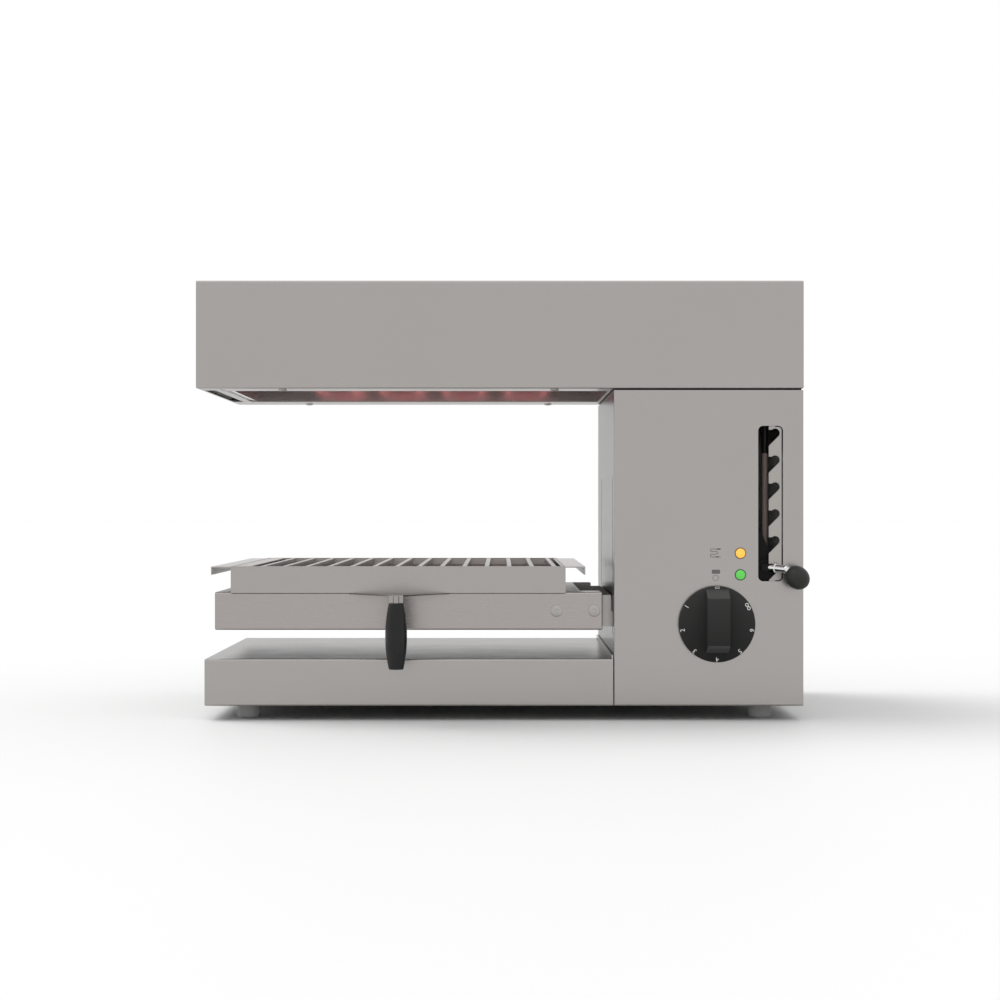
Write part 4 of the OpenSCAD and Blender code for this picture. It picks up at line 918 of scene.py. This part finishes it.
@dataclass
class Hood:
    """The hood: casing, lips, reflector, elements and insulation."""

    screw_head: float = 4.5
    screw_head_height: float = 1.8
    screw_shank: float = 2.5
    sheet: float = 1.5
    nut: float = 4.0
    nut_height: float = 4.0
    tube: float = 4.0
    leg: float = 21.0
    hairpins: int = 4

    def dress(self) -> None:
        """Gives the CAD nodes of the hood their finishes."""
        low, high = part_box("hood_shell")
        inset = Vector((0.5, 0.5, 0.5)) * self.sheet * MM
        dress(HOOD_STEEL.lined(low + inset, high - inset), "hood_shell")
        dress(CASING, "hood_bottom_frame")
        dress(REFLECTOR, "hood_reflector")
        dress(INNER_STEEL, "element_hangers")
        dress(PALE_PLASTIC, "element_fittings")
        dress(BLANKET, "hood_insulation")
        dress(ZINC, "hood_bolts")

    def make_screws(self) -> None:
        """Makes the four screws under the lips."""
        box = Extent.of("hood_frame_screws")
        screw = Screw(self.screw_head, self.screw_head_height, self.screw_shank,
                      self.sheet + self.nut_height, self.nut, self.nut_height)
        piece = Piece("lip_screws", "frame", "zinc_steel", SCREW_STEEL)
        for x, depth in box.corners(self.screw_head):
            screw.put(piece, placed(Facing.DOWN, x, depth, box.bottom + self.screw_head_height))
        piece.finish("hood_frame_screws")

    def make_elements(self) -> None:
        """Makes the hairpins as smooth tubes: two legs and a half turn each."""
        box = Extent.of("heating_elements")
        inset = self.tube + self.leg
        pitch = (box.right - box.left - 2 * inset) / (self.hairpins - 1)
        bend = box.front + inset
        piece = Piece("element_tubes", "frame", "element_sheath", SHEATH)
        for i in range(self.hairpins):
            place = placed(Facing.UP, box.left + inset + i * pitch, bend, box.z)
            piece.add(self._hairpin(box.back - bend), place)
        piece.finish("heating_elements")

    def _hairpin(self, length: float) -> Mesh:
        """Sweeps one hairpin: a half turn about +Z and a straight leg at each end.

        Args:
            length: the length of a leg.

        Returns:
            The closed tube, with its bend's middle at the origin.
        """
        mesh = Shape.wire_end(self.tube, -self.leg, 0.0, 20, False)
        first = mesh.edges[:]
        out = bmesh.ops.spin(mesh, geom=first + mesh.verts[:], cent=(0, 0, 0), axis=(0, 0, 1),
                             dvec=(0, 0, 0), angle=math.pi, steps=24)
        for edges in (first, only(out["geom_last"], bmesh.types.BMEdge)):
            grown = bmesh.ops.extrude_edge_only(mesh, edges=edges)["geom"]
            moved = only(grown, bmesh.types.BMVert)
            bmesh.ops.translate(mesh, verts=moved, vec=(0, length, 0))
            rim = [edge for edge in only(grown, bmesh.types.BMEdge) if edge.is_boundary]
            bmesh.ops.holes_fill(mesh, edges=rim, sides=0)
        bmesh.ops.recalc_face_normals(mesh, faces=mesh.faces)
        return mesh

    def build(self) -> None:
        """Builds and dresses the hood."""
        self.dress()
        self.make_screws()
        self.make_elements()


@dataclass
class Column:
    """The column: panels, lamps, symbols, rear cover and its fittings."""

    lens_radius: float = 4.8
    lens_play: float = 0.1
    lens_rise: float = 2.4
    crown_drop: float = 6.0
    ring_width: float = 0.9
    ring_rise: float = 0.8
    ring_bevel: float = 0.25
    cover_head: float = 4.0
    cover_head_height: float = 1.6
    cover_shank_radius: float = 2.0
    cover_sheet: float = 1.5
    symbol_left: float = 24.5
    ink: float = 0.05
    stroke: float = 0.66
    terminals: tuple[Bar, ...] = ((2.6, 4.2, 3.4, 1.2), (1.4, -3.7, 3.0, 1.0))
    lamp_block: Bar = (0.0, 3.1, 8.2, 4.1)
    lamp_ring: Bar = (-0.4, -3.1, 2.55, 3.0)
    gland_hex: float = 13.86
    gland_thread: float = 10.0
    gland_collar: float = 1.2
    gland_bore: float = 5.0
    gland_round: float = 3.0
    gland_mouth: float = 0.6

    def dress(self) -> None:
        """Gives the CAD nodes of the column their finishes."""
        dress(CASING, "column_front_panel", "column_rear_cover")
        dress(CASING_UPRIGHT, "column_left_wall", "column_right_wall")
        dress(BLACK_PAINT, "column_top_plate")
        dress(LATCH_STEEL, "notch_plate")
        dress(ZINC, "notch_plate_screws", "regulator_screws", "bonding_stud")
        dress(PALE_PLASTIC, "energy_regulator", "terminal_block", "lamp_bodies")
        dress(BUFFER_RUBBER, "wiring_loom")

    def make_lamps(self) -> None:
        """Makes the two lenses and the rings round them."""
        side, rise, bevel = self.lens_radius - self.lens_play, self.lens_rise, self.ring_bevel
        bore, outer = side + self.ink, self.lens_radius + self.ring_width
        reach = math.hypot(side, self.crown_drop + rise * 0.5)
        crown = Shape.arc((0.0, -self.crown_drop), reach, 60, 90, 10)
        dome = [(r, y * rise / crown[-1][1]) for r, y in crown if r < side * 0.96]
        lens = [(0.0, self.ink), (side, self.ink), (side, rise * 0.5), *dome[:-1], (0.0, rise)]
        ring = [(bore, 0.0), (outer, 0.0), (outer, self.ring_rise * 0.6),
                (outer - bevel, self.ring_rise), (bore, self.ring_rise), (bore, 0.0)]
        rings = Piece("lamp_rings", "frame", "black_plastic", AMBER_RIM, GREEN_RIM)
        for index, (node, slot, finish) in enumerate((("lamp_lens_amber", "amber_lens", AMBER),
                                                      ("lamp_lens_green", "green_lens", GREEN))):
            box = Extent.of(node)
            place = placed(Facing.FRONT, box.x, 0.0, box.z)
            dome_piece = Piece(node + "_dome", "frame", slot, finish)
            dome_piece.add(Shape.turned(lens), place).finish(node, smooth_below=60.0)
            rings.add(Shape.turned(ring), place, index)
        rings.finish("lamp_bezels")

    @staticmethod
    def _serpentine() -> list[Pair]:
        """Gives the middle line of the heating symbol, about the amber lamp's height.

        Returns:
            The line's points, from its upper end to its lower end.
        """
        left, right, turn = -5.6, 5.0, 1.6
        levels = (4.2, 1.7, -1.0, -3.7)
        path = [(right, levels[0])]
        turns = ((left, 90, 270), (turn, 90, -90), (left, 90, 270))
        for i, (end, begin, finish) in enumerate(turns):
            radius = (levels[i] - levels[i + 1]) / 2
            middle = (levels[i] + levels[i + 1]) / 2
            inward = radius if end == left else -radius
            path += Shape.arc((end + inward, middle), radius, begin, finish, 8)
        return path + [(right, levels[3])]

    def make_symbols(self) -> None:
        """Prints a heating symbol beside the amber lamp and a lamp symbol beside the green one."""
        amber, green = Extent.of("lamp_lens_amber"), Extent.of("lamp_lens_green")
        x = amber.x - self.symbol_left
        piece = Piece("panel_symbols", "frame", "black_paint", GREY_INK)
        line = Shape.ribbon(self._serpentine(), self.stroke, self.ink)
        piece.add(line, placed(Facing.FRONT, x, 0.0, amber.z))
        bars = [(amber.z, bar) for bar in self.terminals] + [(green.z, self.lamp_block)]
        for z, (shift, rise, width, height) in bars:
            place = placed(Facing.FRONT, x + shift, 0.0, z + rise)
            piece.add(Shape.block(width, height, self.ink), place)
        shift, rise, inner, outer = self.lamp_ring
        ring = [(inner, 0.0), (outer, 0.0), (outer, self.ink), (inner, self.ink), (inner, 0.0)]
        piece.add(Shape.turned(ring, 32), placed(Facing.FRONT, x + shift, 0.0, green.z + rise))
        piece.finish()

    def make_cover_screws(self) -> None:
        """Makes the screws along the rear cover's two edges."""
        box, head = Extent.of("rear_cover_screws"), self.cover_head
        back = Extent.of("column_rear_cover").back
        screw = Screw(head, self.cover_head_height, self.cover_shank_radius, self.cover_sheet)
        piece = Piece("cover_screw_heads", "frame", "zinc_steel", SCREW_STEEL)
        for x in (box.left + head, box.right - head):
            for z in (box.bottom + head, box.z, box.top - head):
                screw.put(piece, placed(Facing.REAR, x, back, z))
        piece.finish("rear_cover_screws")

    def make_gland(self) -> None:
        """Makes the gland for the supply cord: dome nut, hexagon, and thread with its inner nut."""
        box, cover = Extent.of("cable_gland"), Extent.of("column_rear_cover").back
        out, back, seat = box.back - cover, box.front - cover, 0.02
        bore, thread = self.gland_bore, self.gland_thread
        corner, mouth = self.gland_round, self.gland_mouth
        wide = thread + self.gland_collar
        body = [(bore, back), (thread, back), (thread, seat), (wide, seat), (wide, out * 0.5),
                (thread, out * 0.55), (thread, out * 0.8),
                *Shape.arc((thread - corner, out - corner), corner, 0, 90),
                (bore + mouth, out), (bore, out - mouth), (bore, back)]
        place = placed(Facing.REAR, box.x, cover, box.z)
        piece = Piece("supply_gland", "frame", "black_plastic", GLAND_PLASTIC)
        piece.add(Shape.turned(body, 48), place)
        for low, high in ((seat, out * 0.46), (back * 0.55, -self.cover_sheet)):
            piece.add(self._ring_nut(low, high), place)
        piece.finish("cable_gland")

    def _ring_nut(self, low: float, high: float) -> Mesh:
        """Gives a hexagonal ring round the gland's thread.

        Args:
            low: the height where it starts.
            high: the height where it ends.

        Returns:
            The ring.
        """
        mesh = bmesh.new()
        for radius, segments in ((self.gland_hex, 6), (self.gland_thread - 0.2, 36)):
            bmesh.ops.create_circle(mesh, cap_ends=False, radius=radius, segments=segments)
        bmesh.ops.bridge_loops(mesh, edges=mesh.edges[:])
        bmesh.ops.translate(mesh, verts=mesh.verts, vec=(0, 0, low))
        return Shape.thicken(mesh, high - low)

    def build(self) -> None:
        """Builds and dresses the column."""
        self.dress()
        self.make_lamps()
        self.make_symbols()
        self.make_cover_screws()
        self.make_gland()


@dataclass
class Base:
    """The base casing, the floor plate and the feet."""

    foot_radius: float = 13.0
    foot_taper: float = 1.3
    foot_edge: float = 3.0
    rim_height: float = 2.4
    rim_step: float = 0.6
    hole: float = 2.7
    pocket: float = 4.95
    pocket_depth: float = 7.8
    pocket_edge: float = 0.4

    def dress(self) -> None:
        """Gives the CAD nodes of the base their finishes."""
        dress(CASING, "base_shell")
        dress(INNER_STEEL, "chassis_floor")
        dress(ZINC, "foot_screws")

    def make_feet(self) -> None:
        """Turns the four feet with their screw pockets."""
        box = Extent.of("feet")
        height, edge, wide = box.top - box.bottom, self.foot_edge, self.foot_radius
        profile = [(self.hole, self.pocket_depth), (self.pocket, self.pocket_depth),
                   (self.pocket, self.pocket_edge), (self.pocket + self.pocket_edge, 0.0),
                   *Shape.arc((wide - self.foot_taper - edge, edge), edge, 270, 360),
                   (wide - 0.5, height - self.rim_height - self.rim_step),
                   (wide, height - self.rim_height), (wide, height), (self.hole, height),
                   (self.hole, self.pocket_depth)]
        piece = Piece("foot_mouldings", "frame", "foot_plastic", FOOT_PLASTIC)
        for x, depth in box.corners(wide):
            piece.add(Shape.turned(profile), placed(Facing.UP, x, depth, 0.0))
        piece.finish("feet")

    def build(self) -> None:
        """Builds and dresses the base."""
        self.dress()
        self.make_feet()


@dataclass
class Lift:
    """The lift inside the column, and the carrier on its arms."""

    skin: float = 0.4
    rod_shade_below: float = 46.0
    wire: float = 1.1
    spring_turns: int = 46
    carrier_head: float = 5.75
    carrier_head_height: float = 1.6
    carrier_shank_radius: float = 3.0
    carrier_shank: float = 28.5
    carrier_nut: float = 5.75
    carrier_nut_height: float = 3.0

    def dress(self) -> None:
        """Gives the CAD nodes of the lift their finishes."""
        dress(INNER_STEEL, "carriage_plate", "spring_anchor_bar")
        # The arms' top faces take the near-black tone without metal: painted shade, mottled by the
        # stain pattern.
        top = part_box("carriage_arms")[1].z - self.skin * MM
        zone = Zone((-WIDE, -WIDE, top), (WIDE, WIDE, WIDE), ARM_TOP_PAINTED_SHADE, 0.8, Pattern.STAINS, 0.4)
        dress(replace(ARM_STEEL, zone=zone), "carriage_arms")
        dress(CHROME, "guide_rods")
        # Above this height the latch rod takes the near-black tone: painted shade over its upper
        # part.
        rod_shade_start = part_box("notch_plate")[1].z - self.rod_shade_below * MM
        zone = Zone((-WIDE, -WIDE, rod_shade_start), (WIDE, WIDE, WIDE), ROD_PAINTED_SHADE, 1.0, Pattern.RUB_LINES)
        dress(replace(LATCH_ROD_STEEL, zone=zone), "latch_guide_rod")
        dress(ZINC, "guide_rod_collars", "carriage_bolts", "carrier_spacers")
        dress(BRONZE, "carriage_bushes")
        dress(BUFFER_RUBBER, "stop_buffers")
        dress(CARRIER_STEEL, "carrier_frame")

    def make_springs(self) -> None:
        """Makes the two balance springs as coils."""
        box = Extent.of("counterbalance_springs")
        radius, length = (box.right - box.left) / 2, box.top - box.bottom
        piece = Piece("balance_springs", "frame", "spring_steel", SPRING_STEEL)
        for depth in (box.front + radius, box.back - radius):
            coil = Shape.coil(radius - self.wire, self.wire, self.spring_turns, length)
            piece.add(coil, placed(Facing.UP, box.x, depth, box.bottom))
        springs = piece.finish("counterbalance_springs")
        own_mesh(springs)

    def make_carrier_screws(self) -> None:
        """Makes the four screws that join the carrier to the arms."""
        box, head = Extent.of("carrier_screws"), self.carrier_head
        screw = Screw(head, self.carrier_head_height, self.carrier_shank_radius, self.carrier_shank,
                      self.carrier_nut, self.carrier_nut_height)
        piece = Piece("carrier_screw_set", "carriage", "zinc_steel", SCREW_STEEL)
        for x in (box.left + head, box.right - head):
            for facing, depth in ((Facing.FRONT, box.front + self.carrier_head_height),
                                  (Facing.REAR, box.back - self.carrier_head_height)):
                screw.put(piece, placed(facing, x, depth, box.z))
        piece.finish("carrier_screws")

    def build(self) -> None:
        """Builds and dresses the lift."""
        self.dress()
        self.make_springs()
        self.make_carrier_screws()


@dataclass
class BallLever:
    """The latch lever with its bent rod and egg-shaped ball."""

    root_x: float = 275.0
    root_depth: float = -1.0
    root_z: float = 153.0
    yaw: float = 42.5
    pitch: float = 3.5
    rod: float = 15.7
    rod_radius: float = 4.0
    collar_radius: float = 4.8
    collar_length: float = 3.0
    collar_bevel: float = 0.6
    weld_gap: float = 0.02
    ball_pitch: float = 30.0
    ball_start: float = 7.0
    ball_length: float = 27.0
    ball_radius: float = 11.3
    ball_flat: float = 4.5
    ball_bore: float = 4.0
    ball_play: float = 0.1
    rod_in_ball: float = 6.0

    def _along_rod(self) -> Matrix:
        """Gives the frame of the rod, whose +Z runs from the tab to the bend.

        Returns:
            The frame.
        """
        root = Matrix.Translation(at(self.root_x, self.root_depth, self.root_z))
        return (root @ Matrix.Rotation(math.radians(self.yaw), 4, "Z")
                @ Matrix.Rotation(math.radians(90 + self.pitch), 4, "X"))

    def _along_ball(self) -> Matrix:
        """Gives the frame of the rod's end, whose +Z runs from the bend into the ball.

        Returns:
            The frame.
        """
        bend = Matrix.Translation((0, 0, self.rod * MM))
        slope = Matrix.Rotation(math.radians(self.ball_pitch - self.pitch), 4, "X")
        return self._along_rod() @ bend @ slope

    def _flush(self, shape: Mesh) -> Mesh:
        """Cuts a shape in the rod's frame off along the tab's face."""
        forward = self._along_rod().to_3x3().transposed() @ Vector((0, -1, 0))
        return Shape.cut(shape, forward * self.weld_gap, -forward)

    def dress(self) -> None:
        """Gives the CAD nodes of the latch their finishes."""
        dress(BLACK_PAINT, "latch_bracket", "latch_lever")
        dress(ZINC, "lever_pivot_pin")

    def make_rod(self) -> None:
        """Makes the chrome rod: a collar, two straight stretches and a round bend."""
        radius, below = self.rod_radius, -2 * self.rod_radius
        wide, length, bevel = self.collar_radius, self.collar_length, self.collar_bevel
        collar = [(0.0, below), (wide, below), (wide, length - bevel), (wide - bevel, length),
                  (0.0, length)]
        bend = [(0.0, -radius), *Shape.arc((0.0, 0.0), radius, -80, 80, 14), (0.0, radius)]
        piece = Piece("lever_rod_chrome", "lever", "bright_steel", CHROME)
        for shape in (Shape.turned(collar, 40), Shape.rod(radius, below, self.rod, 40)):
            piece.add(self._flush(shape), self._along_rod())
        tail = Shape.rod(radius, 0.0, self.ball_start + self.rod_in_ball, 40)
        for shape in (Shape.turned(bend, 40), tail):
            piece.add(shape, self._along_ball())
        piece.finish("lever_rod")

    def make_ball(self) -> None:
        """Turns the egg-shaped ball, with a flat where the rod enters."""
        half, start = self.ball_length / 2, self.ball_start
        middle = start + half - self.ball_flat
        low = math.degrees(math.asin((start - middle) / half))
        turns = [math.radians(low + (90 - low) * i / 28) for i in range(29)]
        egg = [(self.ball_radius * math.cos(t), middle + half * math.sin(t)) for t in turns]
        mouth, edge = self.rod_radius + self.ball_play, 0.4
        profile = [(mouth, start + self.ball_bore), (mouth, start + edge), (mouth + edge, start),
                   *egg[:-1], (0.0, middle + half)]
        piece = Piece("lever_ball_grip", "lever", "black_plastic", BALL_PLASTIC)
        piece.add(Shape.turned(profile), self._along_ball())
        piece.finish("lever_ball")

    def build(self) -> None:
        """Builds and dresses the lever."""
        self.dress()
        self.make_rod()
        self.make_ball()


@dataclass
class Pan:
    """The grill pan with its grid, handle plate and grip."""

    end_radius: float = 7.1
    mid_radius: float = 10.7
    end_edge: float = 1.1
    bore: float = 3.2
    skin: float = 0.5
    beside_grid: float = 1.6
    pocket: float = 5.95
    pocket_depth: float = 6.0

    def dress(self) -> None:
        """Gives the CAD nodes of the pan their finishes."""
        low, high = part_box("grill_grid")
        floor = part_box("grill_pan")[0].z + self.skin * MM
        inset = Vector((self.beside_grid, self.beside_grid, 0.0)) * MM
        corner = Vector((low.x, low.y, floor)) - inset
        dress(PAN_STEEL.lined(corner, high + inset), "grill_pan")
        dress(HANDLE_STEEL, "handle_plate")
        dress(GRID_STEEL, "grill_grid")
        dress(ZINC, "grip_nut")

    def make_grip(self) -> None:
        """Turns the barrel-shaped grip with its rounded ends and the nut's pocket below."""
        box, edge = Extent.of("handle_grip"), self.end_edge
        length = box.top - box.bottom
        sag = self.mid_radius - self.end_radius
        barrel = (length * length / 4 + sag * sag) / (2 * sag)
        half = math.degrees(math.asin((length / 2 - edge) / barrel))
        side = Shape.arc((self.mid_radius - barrel, length / 2), barrel, -half, half, 24)
        inner = side[0][0] - edge
        bottom = (self.bore, self.pocket_depth)
        profile = [bottom, (self.pocket, self.pocket_depth), (self.pocket, 0.3),
                   (self.pocket + 0.05, 0.0), *Shape.arc((inner, edge), edge, 270, 345, 4), *side,
                   *Shape.arc((inner, length - edge), edge, 15, 90, 4), (self.bore, length), bottom]
        piece = Piece("grip_barrel", "pan", "black_plastic", GRIP_PLASTIC)
        piece.add(Shape.turned(profile, 72), placed(Facing.UP, box.x, box.depth, box.bottom))
        piece.finish("handle_grip")

    def build(self) -> None:
        """Builds and dresses the pan."""
        self.dress()
        self.make_grip()


@dataclass
class Dial:
    """The dial knob: a bevelled skirt, a grip bar across it and its figures."""

    radius: float = 38.1
    gap: float = 1.8
    skirt: float = 6.0
    rim: float = 0.6
    undercut: float = 1.2
    lower_edge: float = 0.4
    hub: float = 8.0
    grip_width: float = 22.6
    grip_out: float = 27.0
    grip_up: float = 27.6
    grip_down: float = 22.0
    grip_edge: float = 1.7
    grip_sink: float = 1.0
    trim_turn: int = 24
    trim_step: int = 4
    slope_up: float = 7.2
    slope_down: float = 6.8
    shoulder: float = 1.6
    lit_slope_lean: float = 0.5
    figure_radius: float = 35.3
    figure_height: float = 4.5
    figure_rise: float = 0.1
    figure_width: float = 7.6
    first_figure: float = 60.0
    figure_step: float = 40.0
    cap_share: float = 0.72
    figures: str = "123456∞"
    off_mark: tuple[Bar, ...] = ((0.0, 0.85, 4.4, 0.42), (0.0, 2.35, 4.4, 0.42),
                                 (-2.0, 1.6, 0.42, 1.4), (2.0, 1.6, 0.42, 1.4))

    def _centre(self) -> Matrix:
        """Gives the dial's frame at the panel: +Z to the viewer, +Y up."""
        box = Extent.of("dial_knob")
        return placed(Facing.FRONT, box.x, 0.0, box.z)

    def _skirt(self) -> Mesh:
        """Turns the round skirt with its rounded rim.

        Returns:
            The skirt.
        """
        top, foot, edge = self.gap + self.skirt, self.radius - self.undercut, self.lower_edge
        rim = Shape.arc((self.radius - self.rim, top - self.rim), self.rim, 0, 90, 6)
        return Shape.turned([(0.0, self.gap), (foot - edge, self.gap), (foot, self.gap + edge),
                             (self.radius, top - self.rim - edge), *rim, (0.0, top)], 128)

    def _grip(self) -> Mesh:
        """Makes the grip bar: a side outline given its width, trimmed to the skirt's circle.

        Returns:
            The bar, whose up and down slopes have the second finish, a lighter tone that paints on
            a highlight.
        """
        top, out, step = self.gap + self.skirt, self.grip_out, self.shoulder
        low, high = -self.grip_down, self.grip_up
        start, end, sunk = low - self.slope_down, high + self.slope_up, top - self.grip_sink
        outline = [(start, sunk), (start, top), (low, out - step), (low + step, out),
                   (high - step, out), (high, out - step), (end, top), (end, sunk)]
        mesh = Shape.prism(outline, -self.grip_width / 2, self.grip_width / 2)
        bmesh.ops.rotate(mesh, verts=mesh.verts, cent=(0, 0, 0),
                         matrix=Matrix(((0, 0, 1), (1, 0, 0), (0, 1, 0))))
        for turn in range(-self.trim_turn, self.trim_turn + 1, self.trim_step):
            outward = Vector((math.sin(math.radians(turn)), math.cos(math.radians(turn)), 0.0))
            Shape.cut(mesh, outward * (self.radius - self.rim), outward)
        bmesh.ops.remove_doubles(mesh, verts=mesh.verts, dist=10 * MERGE)
        bmesh.ops.recalc_face_normals(mesh, faces=mesh.faces)
        Shape.soften(mesh, self.grip_edge, 20.0, 4)
        # Faces sloping up or down get the lighter second finish: a painted highlight.
        for face in mesh.faces:
            face.material_index = int(abs(face.normal.y) > self.lit_slope_lean and face.normal.z > 0.1)
        return mesh

    def make_knob(self) -> None:
        """Makes the knob itself."""
        piece = Piece("dial_moulding", "knob", "black_plastic", DIAL_PLASTIC, LIT_SLOPE_PLASTIC)
        piece.add(self._skirt(), self._centre())
        piece.add(Shape.rod(self.hub, self.gap - 1.2, self.gap + 0.1, 32), self._centre())
        piece.add(self._grip(), self._centre(), None)
        piece.finish("dial_knob", smooth_below=32.0)

    def _figure(self, text: str) -> Mesh:
        """Gives one figure as a thin raised mesh.

        Args:
            text: the figure.

        Returns:
            Its mesh, centred on the origin.
        """
        curve = bpy.data.curves.new("figure", "FONT")
        curve.body = text
        curve.align_x = "CENTER"
        curve.align_y = "CENTER"
        curve.size = self.figure_height / self.cap_share
        curve.extrude = self.figure_rise / 2
        holder = hang("figure", curve)
        bpy.context.view_layer.update()
        flat = bpy.data.meshes.new_from_object(holder)
        mesh = bmesh.new()
        mesh.from_mesh(flat)
        bpy.data.objects.remove(holder)
        bpy.data.curves.remove(curve)
        bpy.data.meshes.remove(flat)
        low = Vector([min(v.co[i] for v in mesh.verts) for i in range(3)])
        high = Vector([max(v.co[i] for v in mesh.verts) for i in range(3)])
        bmesh.ops.translate(mesh, verts=mesh.verts, vec=-(low + high) / 2)
        size = min(self.figure_height / (high - low).y, self.figure_width / (high - low).x)
        bmesh.ops.scale(mesh, verts=mesh.verts, vec=(size, size, 1.0))
        return mesh

    def make_figures(self) -> None:
        """Sets the figures round the rim with their tops outward, and the off mark at the top."""
        piece = Piece("dial_figures", "knob", "black_plastic", PALE_INK)
        top = self.gap + self.skirt
        lift = Matrix.Translation((0, self.figure_radius * MM, (top + self.figure_rise / 2) * MM))
        for i, text in enumerate(self.figures):
            turn = math.radians(self.first_figure + i * self.figure_step)
            piece.add(self._figure(text), self._centre() @ Matrix.Rotation(turn, 4, "Z") @ lift)
        for x, y, width, height in self.off_mark:
            place = Matrix.Translation((x * MM, (self.radius - y) * MM, top * MM))
            piece.add(Shape.block(width, height, self.figure_rise), self._centre() @ place)
        piece.finish()

    def build(self) -> None:
        """Builds and dresses the dial."""
        dress(ZINC, "regulator_shaft")
        self.make_knob()
        self.make_figures()


@dataclass
class Studio:
    """The plain pale floor, the soft light and the camera."""

    eye_x: float = 1.6
    eye_height: float = 214.3
    eye_distance: float = 2300.0
    focal_pixels: float = 2297.3
    picture_pixels: float = 1000.0
    centre_x: float = 501.4
    centre_y: float = 506.7
    sensor: float = 36.0
    floor_reach: float = 30.0
    lights: tuple[tuple[str, Point, float, float], ...] = (
        ("key_light", (-0.55, 0.25, 0.80), 1.6, 40.0),
        ("front_light", (0.0, -0.6, 0.8), 0.15, 30.0))

    def make_camera(self) -> None:
        """Sets the camera level, in front of the object, with the picture's small shift."""
        data = bpy.data.cameras.new("camera")
        data.sensor_width = self.sensor
        data.sensor_fit = "HORIZONTAL"
        data.lens = self.focal_pixels * self.sensor / self.picture_pixels
        data.shift_x = -(self.centre_x - self.picture_pixels / 2) / self.picture_pixels
        data.shift_y = (self.centre_y - self.picture_pixels / 2) / self.picture_pixels
        data.clip_start = 0.05
        data.clip_end = 60.0
        camera = hang("camera", data)
        camera.location = at(self.eye_x, -self.eye_distance, self.eye_height)
        camera.rotation_euler = (math.pi / 2, 0, 0)
        bpy.context.scene.camera = camera

    def make_floor(self) -> None:
        """Lays the pale floor."""
        mesh = bmesh.new()
        bmesh.ops.create_grid(mesh, x_segments=1, y_segments=1, size=self.floor_reach)
        data = bpy.data.meshes.new("studio_floor")
        mesh.to_mesh(data)
        mesh.free()
        data.materials.append(STUDIO_FLOOR.material())
        hang("studio_floor", data)

    def make_light(self) -> None:
        """Sets an even white surround and lights from the upper left and the front."""
        world = bpy.data.worlds.new("surround")
        world.use_nodes = True
        sky = world.node_tree.nodes["Background"].inputs
        sky["Color"].default_value = (1.0, 1.0, 1.0, 1.0)
        sky["Strength"].default_value = 1.0
        bpy.context.scene.world = world
        for name, towards, strength, spread in self.lights:
            data = bpy.data.lights.new(name, "SUN")
            data.energy = strength
            data.angle = math.radians(spread)
            light = hang(name, data)
            light.rotation_euler = Vector(towards).to_track_quat("Z", "Y").to_euler()

    def build(self) -> None:
        """Builds the studio."""
        bpy.context.scene.view_settings.view_transform = "Standard"
        self.make_camera()
        self.make_floor()
        self.make_light()


def main() -> None:
    """Builds the studio and then the object, sub-assembly by sub-assembly."""
    logging.basicConfig(level=logging.INFO, format="%(name)s: %(message)s")
    for part in (Studio(), Base(), Column(), Hood(), Lift(), BallLever(), Pan(), Dial()):
        LOG.info("building %s", type(part).__name__)
        part.build()


if __name__ == "__main__":
    main()
